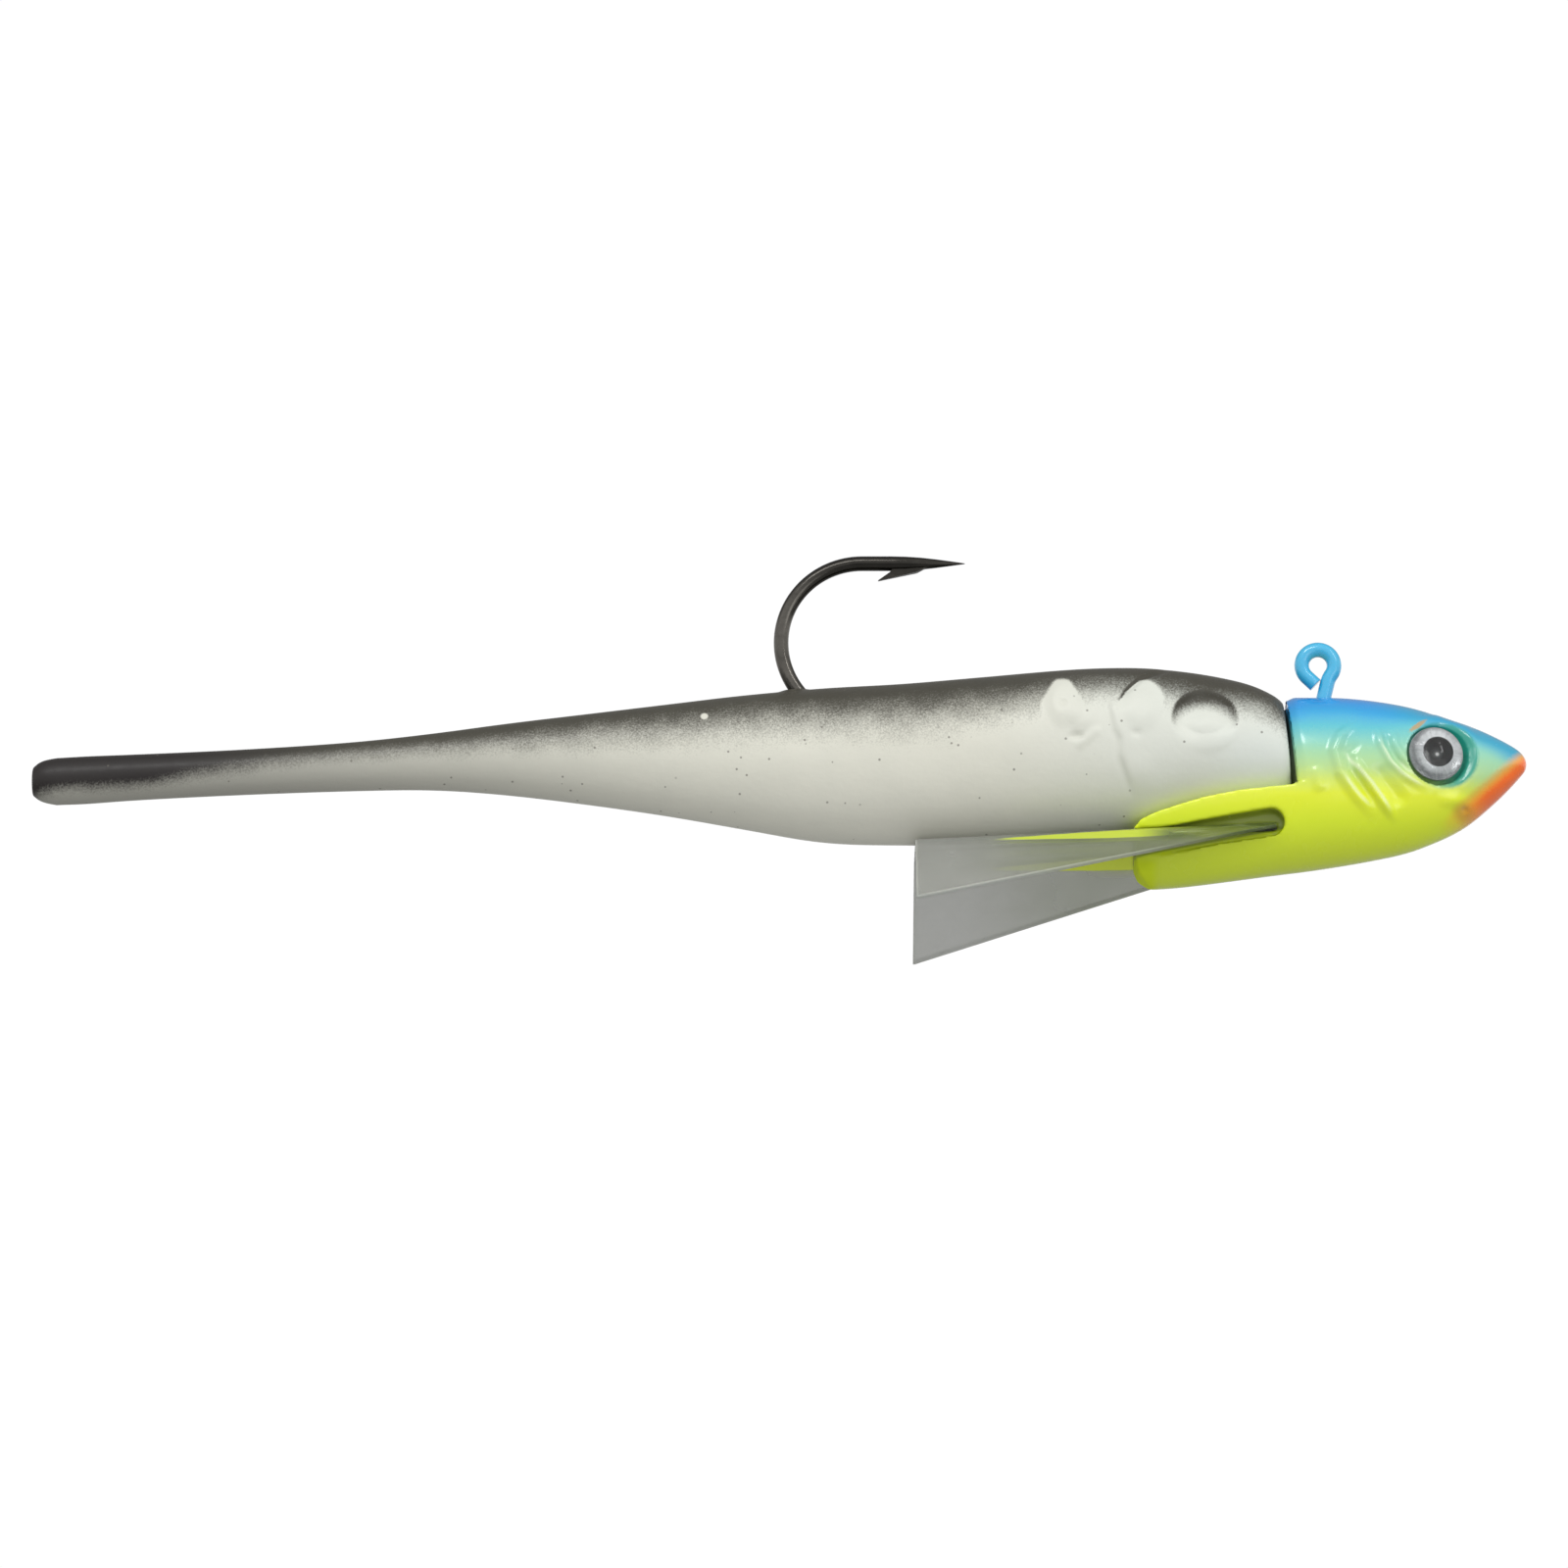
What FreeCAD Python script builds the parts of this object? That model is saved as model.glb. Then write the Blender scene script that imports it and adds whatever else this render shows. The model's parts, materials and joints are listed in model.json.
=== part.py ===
import FreeCAD, Part
import math
import os

# Soft-bodied jig swimbait: a painted cast head on a jig hook, a soft plastic body pushed over
# the hook's shank, and a clear film wing sheet held in a slot under the body.
# Millimetres. The origin is the centre of the line eye, +X points to the nose and +Z is up.

# jig hook
wire_radius = 0.825
eye_loop_radius = 1.79
eye_tail_reach = (-0.50, -2.00)
stem_lean = 26.0
bend_radius = 9.0
bend_centre_x = -50.45
shank_z = -6.4
stem_corner_radius = 2.2
leg_straight = 3.2
point_length = 8.2
point_tip_radius = 0.05
barb_length = 2.6
barb_drop = 1.35
barb_width = 0.8
barb_from_point = 7.3

# cast head with its cradle
head_rear_x = -3.3
head_length = 26.25
head_depth = 19.7
head_half_width = 6.8
head_top_z = -3.62
cradle_length = 17.4
cradle_rear_half_width = 5.3
keel_end_drop = 2.1
keel_end_radius = 3.4
rim_front_z = -14.6
rim_tip_z = -19.25
cradle_tip_thickness = 0.35
keeper_radius = 1.5
keeper_ridge_radius = 2.0
keeper_length = 9.6
keeper_ridges = 3

# soft body
body_length = 138.4
body_depth = 20.0
body_half_width = 7.4
flex_joints = (66.2, 84.2, 101.2, 118.2)
knuckle_share = 0.94

# clear film wings
film_thickness = 0.45
film_front_x = -5.0
film_rear_x = -44.7
film_front_z = -19.0
film_rear_z = -20.95
wing_root_y = 6.0
wing_front_span = 0.8
wing_rear_span = 15.5
wing_droop = 35.5
wing_corner_radius = 0.5
slot_front_x = -4.1
slot_mouth_height = 3.0
slot_mouth_depth = 2.2
slot_mouth_sink = 0.2

# moulded eyes
eye_radius = 3.05
eye_x = 12.9
eye_z = -11.1
eye_sink = 0.75
eye_yaw = 11.0
eye_pitch = 6.0
foil_thickness = 0.3
dome_height = 0.95

# clearances
face_gap = 0.5
body_seat_gap = 0.15
wire_bore_gap = 0.06
cast_gap = 0.02
film_gap = 0.14
flex_gap = 0.3
hinge_setback = 0.35
hinge_edge = 0.1
eye_seat_gap = 0.1

# Body stations: share of the length from the front face, half-width as a share of the
# largest, and the back and belly as shares of the depth above and below the shank.
BODY_STATIONS = (
    (0.0000, 0.78, 0.055, 0.480),
    (0.0058, 0.86, 0.125, 0.500),
    (0.0242, 0.91, 0.200, 0.515),
    (0.0556, 0.95, 0.255, 0.535),
    (0.0867, 0.975, 0.2875, 0.565),
    (0.1178, 0.995, 0.305, 0.615),
    (0.1647, 1.00, 0.2975, 0.6525),
    (0.2435, 0.975, 0.252, 0.690),
    (0.3056, 0.945, 0.215, 0.6975),
    (0.3685, 0.89, 0.1925, 0.6815),
    (0.4306, 0.81, 0.1485, 0.605),
    (0.4935, 0.70, 0.100, 0.5335),
    (0.5564, 0.58, 0.045, 0.4675),
    (0.6185, 0.475, -0.010, 0.413),
    (0.6814, 0.38, -0.065, 0.385),
    (0.7442, 0.335, -0.115, 0.390),
    (0.8374, 0.31, -0.1585, 0.4135),
    (0.9241, 0.31, -0.186, 0.445),
    (0.9769, 0.315, -0.2025, 0.470),
    (0.9942, 0.27, -0.2225, 0.438),
    (1.0000, 0.14, -0.280, 0.395),
)

# Head stations from the cradle's rear to the nose: x as a share of the cradle (negative)
# or head length, half-width share, and top and bottom as shares of the depth below the top.
HEAD_STATIONS = (
    (-1.05, None, 0.0, 1.090),
    (-0.87, None, 0.0, 1.107),
    (-0.68, None, 0.0, 1.095),
    (-0.40, None, 0.0, 1.062),
    (-0.10, None, 0.0, 1.022),
    (0.06, 1.00, 0.001, 1.002),
    (0.266, 0.975, 0.007, 0.957),
    (0.431, 0.925, 0.035, 0.918),
    (0.514, 0.885, 0.058, 0.890),
    (0.595, 0.84, 0.090, 0.847),
    (0.678, 0.78, 0.131, 0.801),
    (0.762, 0.69, 0.161, 0.735),
    (0.842, 0.56, 0.212, 0.639),
    (0.926, 0.385, 0.268, 0.537),
    (0.964, 0.28, 0.301, 0.481),
    (1.000, 0.09, 0.372, 0.407),
)

SECTION_POINTS = 16
LOFT_DEGREE = 5
WIDE = 60.0


def vec(x, y, z):
    return FreeCAD.Vector(x, y, z)


def section(x, half_width, top, bottom):
    """Closed oval across the body at x."""
    middle = (top + bottom) / 2
    half_depth = (top - bottom) / 2
    points = []
    for i in range(SECTION_POINTS):
        turn = 2 * math.pi * i / SECTION_POINTS
        points.append(vec(x, half_width * math.cos(turn), middle + half_depth * math.sin(turn)))
    curve = Part.BSplineCurve()
    curve.interpolate(Points=points, PeriodicFlag=True)
    return Part.Wire([curve.toShape()])


def loft(sections):
    return Part.makeLoft(sections, True, False, False, LOFT_DEGREE)


def slab(points, thickness):
    """Solid from a closed outline in the XZ plane, centred on y = 0."""
    outline = [vec(x, -thickness / 2, z) for x, z in points]
    outline.append(outline[0])
    return Part.Face(Part.makePolygon(outline)).extrude(vec(0, thickness, 0))


def rod(start, end, radius):
    run = end.sub(start)
    return Part.makeCylinder(radius, run.Length, start, run)


def merged(shapes):
    solid = shapes[0].fuse(shapes[1:])
    return solid.removeSplitter()


def only_solid(shape):
    """The largest solid of a boolean result, without its crumbs."""
    return max(shape.Solids, key=lambda solid: solid.Volume)


# ---------------------------------------------------------------- jig hook

def loop_point(degrees):
    turn = math.radians(degrees)
    return vec(eye_loop_radius * math.cos(turn), 0, eye_loop_radius * math.sin(turn))


def arc(start, middle, end):
    return Part.Arc(start, middle, end).toShape()


def line(start, end):
    return Part.LineSegment(start, end).toShape()


def hook_path():
    """Centre line from the eye's free end, through the shank and bend, to the point leg."""
    tail = vec(eye_tail_reach[0], 0, eye_tail_reach[1])
    tail_turn = math.degrees(math.atan2(tail.z, tail.x)) % 360
    loop_end = tail_turn - math.degrees(math.acos(eye_loop_radius / tail.Length))
    loop_start = -stem_lean
    lean = math.radians(stem_lean)
    up_stem = vec(math.sin(lean), 0, math.cos(lean))
    stem_top = loop_point(loop_start)
    run = (stem_top.z - shank_z) / up_stem.z
    corner = stem_top.sub(vec(up_stem.x * run, 0, up_stem.z * run))
    trim = stem_corner_radius * math.tan((math.pi / 2 - lean) / 2)
    stem_low = corner.add(vec(up_stem.x * trim, 0, up_stem.z * trim))
    shank_front = corner.sub(vec(trim, 0, 0))
    centre = stem_arc_centre(shank_front)
    half = (math.pi / 2 - lean) / 2
    stem_mid = vec(centre.x + stem_corner_radius * math.sin(half), 0,
                   centre.z - stem_corner_radius * math.cos(half))
    bend_low = vec(bend_centre_x, 0, shank_z)
    bend_back = vec(bend_centre_x - bend_radius, 0, shank_z + bend_radius)
    bend_high = vec(bend_centre_x, 0, shank_z + 2 * bend_radius)
    leg_end = bend_high.add(vec(leg_straight, 0, 0))
    return [
        line(tail, loop_point(loop_end)),
        arc(loop_point(loop_end), loop_point((loop_end + loop_start) / 2), stem_top),
        line(stem_top, stem_low),
        arc(stem_low, stem_mid, shank_front),
        line(shank_front, bend_low),
        arc(bend_low, bend_back, bend_high),
        line(bend_high, leg_end),
    ]


def stem_arc_centre(shank_front):
    return shank_front.add(vec(0, 0, stem_corner_radius))


def wire_solid(radius):
    """Round wire along the hook's centre line."""
    path = Part.Wire(hook_path())
    start = path.Edges[0]
    direction = start.tangentAt(start.FirstParameter)
    circle = Part.Circle(start.valueAt(start.FirstParameter), direction, radius)
    profile = Part.Wire([circle.toShape()])
    return path.makePipeShell([profile], True, False)


def barb():
    leg_z = shank_z + 2 * bend_radius
    tip_x = bend_centre_x + leg_straight + point_length
    root_x = tip_x - barb_from_point
    outline = [
        (root_x + barb_length * 0.8, leg_z),
        (root_x, leg_z),
        (root_x - barb_length * 0.42, leg_z - wire_radius * 0.45),
        (root_x - barb_length * 0.78, leg_z - wire_radius - barb_drop * 0.83),
        (root_x + barb_length * 0.55, leg_z - wire_radius * 0.6),
    ]
    return slab(outline, barb_width)


def jig_hook():
    leg_z = shank_z + 2 * bend_radius
    leg_end = vec(bend_centre_x + leg_straight, 0, leg_z)
    point = Part.makeCone(wire_radius, point_tip_radius, point_length, leg_end, vec(1, 0, 0))
    return only_solid(merged([wire_solid(wire_radius), point, barb()]))


# ---------------------------------------------------------------- soft body

def body_x(along):
    return head_rear_x - face_gap - along


def body_loft(gap):
    """Whole body from the front face to the tail tip, grown by gap all round."""
    sections = []
    for share, width, top, bottom in BODY_STATIONS:
        sections.append(section(
            body_x(share * body_length),
            width * body_half_width + gap,
            shank_z + top * body_depth + gap,
            shank_z - bottom * body_depth - gap))
    return loft(sections)


def half_width_at(along):
    """Body half-width at a distance behind the front face."""
    share = along / body_length
    for near, far in zip(BODY_STATIONS, BODY_STATIONS[1:]):
        if near[0] <= share <= far[0]:
            mix = (share - near[0]) / (far[0] - near[0])
            return body_half_width * (near[1] + mix * (far[1] - near[1]))
    return body_half_width * BODY_STATIONS[-1][1]


def upright_cylinder(along, radius):
    """Cylinder about the upright axis of a flex joint."""
    return Part.makeCylinder(radius, WIDE, vec(body_x(along), 0, shank_z - WIDE / 2))


def span_box(front_along, rear_along):
    """Box round the body between two distances behind the front face."""
    length = rear_along - front_along
    return Part.makeBox(length, WIDE, WIDE, vec(body_x(rear_along), -WIDE / 2, shank_z - WIDE / 2))


def body_segments(whole):
    """The body cut into a front length and the tail lengths that flex behind it."""
    cuts = (-WIDE,) + flex_joints + (body_length + WIDE,)
    segments = []
    for index, (front, rear) in enumerate(zip(cuts, cuts[1:])):
        room = span_box(front, rear)
        if index > 0:
            room = room.fuse(upright_cylinder(front, knuckle_share * half_width_at(front)))
        if index < len(flex_joints):
            room = room.cut(upright_cylinder(rear, half_width_at(rear) + flex_gap))
        segments.append(only_solid(whole.common(room)))
    return segments


# ---------------------------------------------------------------- cast head

def head_loft():
    sections = []
    for share, width, top, bottom in HEAD_STATIONS:
        if share < 0:
            x = head_rear_x + share * cradle_length
            half_width = head_half_width + share * (head_half_width - cradle_rear_half_width)
        else:
            x = head_rear_x + share * head_length
            half_width = head_half_width * width
        sections.append(section(x, half_width, head_top_z - top * head_depth,
                                head_top_z - bottom * head_depth))
    return loft(sections)


def film_z(x):
    return film_front_z + (film_rear_z - film_front_z) * (x - film_front_x) / (film_rear_x - film_front_x)


def above_rim():
    """All that lies over the cradle's rim, behind the head's rear face."""
    tip_x = head_rear_x - cradle_length
    rear_x = tip_x - WIDE
    rim = [vec(head_rear_x, 0, rim_front_z)]
    for share, fall in ((0.4, 0.28), (0.78, 0.5), (0.93, 0.76)):
        rim.append(vec(head_rear_x - share * cradle_length, 0,
                       rim_front_z + fall * (rim_tip_z - rim_front_z)))
    rim.append(vec(tip_x, 0, rim_tip_z))
    curve = Part.BSplineCurve()
    curve.interpolate(Points=rim)
    edges = [
        curve.toShape(),
        line(rim[-1], vec(rear_x, 0, rim_tip_z)),
        line(vec(rear_x, 0, rim_tip_z), vec(rear_x, 0, WIDE)),
        line(vec(rear_x, 0, WIDE), vec(head_rear_x, 0, WIDE)),
        line(vec(head_rear_x, 0, WIDE), rim[0]),
    ]
    face = Part.Face(Part.Wire(edges))
    face.translate(vec(0, -WIDE / 2, 0))
    return face.extrude(vec(0, WIDE, 0))


def slit():
    """Thin slit right through the cradle, one film thickness and its clearance high."""
    half = film_thickness / 2 + film_gap
    front_x = film_front_x + film_gap
    rear_x = head_rear_x - cradle_length - WIDE
    return slab([(front_x, film_z(front_x) + half), (rear_x, film_z(rear_x) + half),
                 (rear_x, film_z(rear_x) - half), (front_x, film_z(front_x) - half)], WIDE)


def slot_mouths():
    """Tall round-ended openings of the slit at each side of the cradle."""
    half = slot_mouth_height / 2
    nose_x = slot_front_x - half
    rear_x = head_rear_x - cradle_length - WIDE
    slope = math.atan2(film_z(nose_x) - film_z(rear_x), nose_x - rear_x)
    shapes = []
    for side in (-1, 1):
        inner = wing_root_y - slot_mouth_depth
        start = vec(nose_x, side * inner, film_z(nose_x) - slot_mouth_sink)
        cap = Part.makeCylinder(half, WIDE, start, vec(0, side, 0))
        run = Part.makeBox(nose_x - rear_x, WIDE, slot_mouth_height)
        run.translate(vec(rear_x - nose_x, 0 if side > 0 else -WIDE, -half))
        run.rotate(vec(0, 0, 0), vec(0, 1, 0), -math.degrees(slope))
        run.translate(start)
        shapes.append(cap.fuse(run))
    return shapes


def behind_keel():
    """What the rounded rear end of the keel leaves away."""
    end_x = head_rear_x - cradle_length
    top_z = film_z(end_x) - slot_mouth_height / 2
    block = Part.makeBox(WIDE, WIDE, WIDE, vec(end_x + keel_end_radius - WIDE, -WIDE / 2, top_z - WIDE))
    cylinder = Part.makeCylinder(keel_end_radius, WIDE,
                                 vec(end_x + keel_end_radius, -WIDE / 2, top_z - keel_end_drop),
                                 vec(0, 1, 0))
    keep = Part.makeBox(WIDE, WIDE, WIDE, vec(end_x, -WIDE / 2, top_z - keel_end_drop))
    return block.cut(cylinder).cut(keep)


def behind_cradle():
    end_x = head_rear_x - cradle_length
    return Part.makeBox(WIDE, WIDE, WIDE, vec(end_x - WIDE, -WIDE / 2, -WIDE))


def keeper():
    """Collar on the shank that holds the soft body, with barbed ridges."""
    start = vec(head_rear_x + 1.0, 0, shank_z)
    shapes = [rod(start, vec(head_rear_x - keeper_length, 0, shank_z), keeper_radius)]
    pitch = keeper_length / keeper_ridges
    for index in range(keeper_ridges):
        wide_x = head_rear_x - face_gap - pitch * (index + 0.35)
        shapes.append(Part.makeCone(keeper_ridge_radius, keeper_radius, pitch * 0.5,
                                    vec(wide_x, 0, shank_z), vec(-1, 0, 0)))
    return merged(shapes)


def head_casting(trough):
    cast = head_loft()
    for cutter in [above_rim(), trough, slit(), behind_keel(), behind_cradle()] + slot_mouths():
        cast = cast.cut(cutter)
    cast = merged([only_solid(cast), keeper()])
    for side in (-1, 1):
        cast = cast.cut(eye_seat(side))
    return only_solid(cast.cut(wire_solid(wire_radius + cast_gap)))


# ---------------------------------------------------------------- eyes

def place_on_cheek(shape, side):
    """Turn a shape built along +Z so that it faces out of one cheek."""
    placed = shape.copy()
    placed.rotate(vec(0, 0, 0), vec(1, 0, 0), -side * (90 - eye_pitch))
    placed.rotate(vec(0, 0, 0), vec(0, 0, 1), -side * eye_yaw)
    placed.translate(vec(eye_x, side * eye_face_y(), eye_z))
    return placed


def eye_face_y():
    """Distance from the middle plane to the back of the eye disc."""
    share = (eye_x - head_rear_x) / head_length
    for near, far in zip(HEAD_STATIONS[5:], HEAD_STATIONS[6:]):
        if near[0] <= share <= far[0]:
            mix = (share - near[0]) / (far[0] - near[0])
            return head_half_width * (near[1] + mix * (far[1] - near[1])) - eye_sink
    return head_half_width - eye_sink


def eye_seat(side):
    return place_on_cheek(Part.makeCylinder(eye_radius + eye_seat_gap, 4 * dome_height), side)


def eye_foil(side):
    return place_on_cheek(Part.makeCylinder(eye_radius, foil_thickness), side)


def eye_dome(side):
    """Clear domed lens: a cap of a ball, standing on the foil."""
    ball_radius = (eye_radius ** 2 + dome_height ** 2) / (2 * dome_height)
    ball = Part.makeSphere(ball_radius, vec(0, 0, foil_thickness + dome_height - ball_radius))
    keep = Part.makeBox(WIDE, WIDE, WIDE, vec(-WIDE / 2, -WIDE / 2, foil_thickness))
    return place_on_cheek(ball.common(keep), side)


# ---------------------------------------------------------------- film wings

def film_slope():
    return math.degrees(math.atan2(film_front_z - film_rear_z, film_front_x - film_rear_x))


def film_plate(outline):
    """Sheet from an outline in distances behind and outward of the root line's front end."""
    points = [vec(-back, out, -film_thickness / 2) for back, out in outline]
    points.append(points[0])
    return Part.Face(Part.makePolygon(points)).extrude(vec(0, 0, film_thickness))


def rounded(plate, back, out):
    """Round the upright edge of a plate that is nearest to a corner."""
    corner = vec(-back, out, 0)
    edge = min(plate.Edges, key=lambda e: e.CenterOfMass.sub(corner).Length)
    return plate.makeFillet(wing_corner_radius, [edge])


def film_length():
    return math.hypot(film_front_x - film_rear_x, film_front_z - film_rear_z)


def wing(side):
    length = film_length()
    outline = [(0, side * hinge_edge), (length, side * hinge_edge),
               (length, side * wing_rear_span), (0, side * wing_front_span)]
    plate = rounded(film_plate(outline), length, side * wing_rear_span)
    plate.rotate(vec(0, 0, 0), vec(1, 0, 0), -side * wing_droop)
    plate.rotate(vec(0, 0, 0), vec(0, 1, 0), -film_slope())
    plate.translate(vec(film_front_x, side * wing_root_y, film_front_z))
    return plate


def wing_web():
    half = wing_root_y - hinge_setback
    length = film_length()
    plate = film_plate([(0, -half), (length, -half), (length, half), (0, half)])
    plate.rotate(vec(0, 0, 0), vec(0, 1, 0), -film_slope())
    plate.translate(vec(film_front_x, 0, film_front_z))
    return plate


# ---------------------------------------------------------------- assembly

def build():
    whole = body_loft(0.0)
    bored = whole.cut(wire_solid(wire_radius + wire_bore_gap))
    collar = keeper().fuse(rod(vec(head_rear_x, 0, shank_z),
                               vec(head_rear_x - keeper_length, 0, shank_z),
                               keeper_radius + wire_bore_gap))
    bored = bored.cut(collar)
    names = ["body_front"]
    names += ["tail_segment_%d" % (i + 1) for i in range(len(flex_joints))]
    nodes = dict(zip(names, body_segments(bored)))
    nodes["head_casting"] = head_casting(body_loft(body_seat_gap))
    nodes["jig_hook"] = jig_hook()
    nodes["wing_web"] = wing_web()
    for word, side in (("left", 1), ("right", -1)):
        nodes["wing_" + word] = wing(side)
        nodes["eye_foil_" + word] = eye_foil(side)
        nodes["eye_dome_" + word] = eye_dome(side)
    return nodes


def main():
    os.makedirs("parts", exist_ok=True)
    for name, shape in sorted(build().items()):
        shape.exportStep("parts/%s.step" % name)
        box = shape.optimalBoundingBox(False, False)
        print("%-16s %d solid(s) %s %9.2f mm3  x %.2f..%.2f  y %.2f..%.2f  z %.2f..%.2f" % (
            name, len(shape.Solids), "valid" if shape.isValid() else "INVALID", shape.Volume,
            box.XMin, box.XMax, box.YMin, box.YMax, box.ZMin, box.ZMax))


main()
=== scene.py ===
import json
from math import acos, atan2, cos, degrees, hypot, pi, radians, sin, sqrt, tan

import bpy
from mathutils import Matrix, Vector


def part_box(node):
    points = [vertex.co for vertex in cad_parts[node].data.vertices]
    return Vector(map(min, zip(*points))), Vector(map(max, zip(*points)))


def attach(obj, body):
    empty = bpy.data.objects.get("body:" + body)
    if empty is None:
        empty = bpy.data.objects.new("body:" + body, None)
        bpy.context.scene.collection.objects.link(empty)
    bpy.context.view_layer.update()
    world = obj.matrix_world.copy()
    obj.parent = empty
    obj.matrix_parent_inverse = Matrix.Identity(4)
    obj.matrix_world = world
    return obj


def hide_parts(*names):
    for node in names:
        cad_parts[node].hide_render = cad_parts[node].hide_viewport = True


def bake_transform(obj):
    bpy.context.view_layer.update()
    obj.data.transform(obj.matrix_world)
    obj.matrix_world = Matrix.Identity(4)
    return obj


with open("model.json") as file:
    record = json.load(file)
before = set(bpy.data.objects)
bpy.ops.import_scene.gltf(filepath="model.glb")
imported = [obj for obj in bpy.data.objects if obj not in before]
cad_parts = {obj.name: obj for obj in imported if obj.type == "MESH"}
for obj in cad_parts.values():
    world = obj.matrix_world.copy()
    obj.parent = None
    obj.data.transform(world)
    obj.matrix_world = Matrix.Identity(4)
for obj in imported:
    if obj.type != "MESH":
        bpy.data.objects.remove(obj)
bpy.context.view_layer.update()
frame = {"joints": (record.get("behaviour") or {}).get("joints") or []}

MM = 0.001


def node_box(name):
    """Lowest and highest corners of a CAD node, in millimetres."""
    low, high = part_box(name)
    return [Vector(c) * 1000 for c in (low, high)]


def joint_place(name):
    """A joint's pivot, in millimetres."""
    joint = next(j for j in frame["joints"] if j["name"] == name)
    return Vector(joint["pos_m"]) * 1000


FACE_X = node_box("body_front")[1].x
TIP_X = node_box("tail_segment_4")[0].x
HOOK_REAR_X = node_box("jig_hook")[0].x
WING_REAR_X = node_box("wing_left")[0].x
FLEX_X = [joint_place("tail_flex_%d" % n).x for n in (1, 2, 3, 4)]
WING_ROOT = joint_place("wing_left_flap")
HEAD_REAR_X = FACE_X + 0.5
SHANK_Z = -6.4
WIRE = 0.825


# ---- modelling helpers

def alone(piece):
    pick_none()
    piece.select_set(True)
    bpy.context.view_layer.objects.active = piece


def editing(piece):
    alone(piece)
    bpy.ops.object.mode_set(mode="EDIT")


def done_editing():
    bpy.ops.object.mode_set(mode="OBJECT")


def pick_none():
    bpy.ops.object.select_all(action="DESELECT")


def take_all():
    bpy.ops.mesh.select_all(action="SELECT")


def run_edges(step):
    """Extrude the selected edges, and leave the new ones selected."""
    bpy.ops.mesh.extrude_edges_move(TRANSFORM_OT_translate={"value": step})


def resized(x, y, z, centre):
    bpy.ops.transform.resize(value=(x, y, z), center_override=centre)


def closed(piece):
    """Fill a tube's open ends, and turn its faces outwards."""
    bpy.ops.mesh.select_all(action="DESELECT")
    bpy.ops.mesh.select_non_manifold()
    bpy.ops.mesh.fill_holes(sides=0)
    done_editing()
    return outward(piece)


def named(name):
    piece = bpy.context.object
    piece.name = name
    piece.data.name = name
    return piece


def place_applied(piece):
    alone(piece)
    bpy.ops.object.transform_apply(location=True, rotation=True, scale=True)
    return piece


def modified(piece, kind, **settings):
    """Add a modifier, set it and apply it."""
    alone(piece)
    modifier = piece.modifiers.new(kind.title(), kind)
    for key, value in settings.items():
        setattr(modifier, key, value)
    bpy.ops.object.modifier_apply(modifier=modifier.name)
    return piece


def smoother(piece, levels):
    return modified(piece, "SUBSURF", levels=levels, render_levels=levels)


def cut(piece, cutter, operation="DIFFERENCE"):
    modified(piece, "BOOLEAN", operation=operation, object=cutter, solver="EXACT")
    bpy.data.objects.remove(cutter, do_unlink=True)
    return piece


def outward(piece):
    editing(piece)
    take_all()
    bpy.ops.mesh.remove_doubles(threshold=0.0005)
    bpy.ops.mesh.normals_make_consistent(inside=False)
    done_editing()
    return piece


def finished(piece, angle=40):
    """Smooth shading, and millimetres to metres."""
    alone(piece)
    bpy.ops.object.shade_smooth_by_angle(angle=radians(angle))
    piece.scale = (MM, MM, MM)
    return place_applied(piece)


def ease(edge0, edge1, value):
    """Smooth 0 to 1 as the value goes from edge0 to edge1."""
    t = min(max((value - edge0) / (edge1 - edge0), 0.0), 1.0)
    return t * t * (3 - 2 * t)


def smooth_profile(points, x):
    """Value at x on a smooth curve through (x, value) points, sorted by x."""
    if x <= points[0][0]:
        return points[0][1]
    for i in range(len(points) - 1):
        x0, y0 = points[i]
        x1, y1 = points[i + 1]
        if x <= x1:
            before = points[max(i - 1, 0)]
            after = points[min(i + 2, len(points) - 1)]
            slope0 = (y1 - before[1]) / (x1 - before[0])
            slope1 = (after[1] - y0) / (after[0] - x0)
            span = x1 - x0
            t = (x - x0) / span
            return ((2 * t ** 3 - 3 * t ** 2 + 1) * y0 + (t ** 3 - 2 * t ** 2 + t) * span * slope0
                    + (3 * t ** 2 - 2 * t ** 3) * y1 + (t ** 3 - t ** 2) * span * slope1)
    return points[-1][1]


def ringed(name, stations, sides):
    """Skin a closed shape over a row of ovals along X. A station is (x, half width, top, bottom)."""
    x, half_width, top, bottom = stations[0]
    middle = (top + bottom) / 2
    half_depth = (top - bottom) / 2
    pick_none()
    bpy.ops.mesh.primitive_circle_add(vertices=sides, radius=1, rotation=(pi / 2, 0, pi / 2))
    piece = place_applied(named(name))
    editing(piece)
    take_all()
    resized(1, half_width, half_depth, (0, 0, 0))
    bpy.ops.transform.translate(value=(x, 0, middle))
    for new_x, new_width, new_top, new_bottom in stations[1:]:
        new_middle = (new_top + new_bottom) / 2
        new_depth = (new_top - new_bottom) / 2
        run_edges((new_x - x, 0, new_middle - middle))
        resized(1, new_width / half_width, new_depth / half_depth, (new_x, 0, new_middle))
        x, middle, half_width, half_depth = new_x, new_middle, new_width, new_depth
    return closed(piece)


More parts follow.
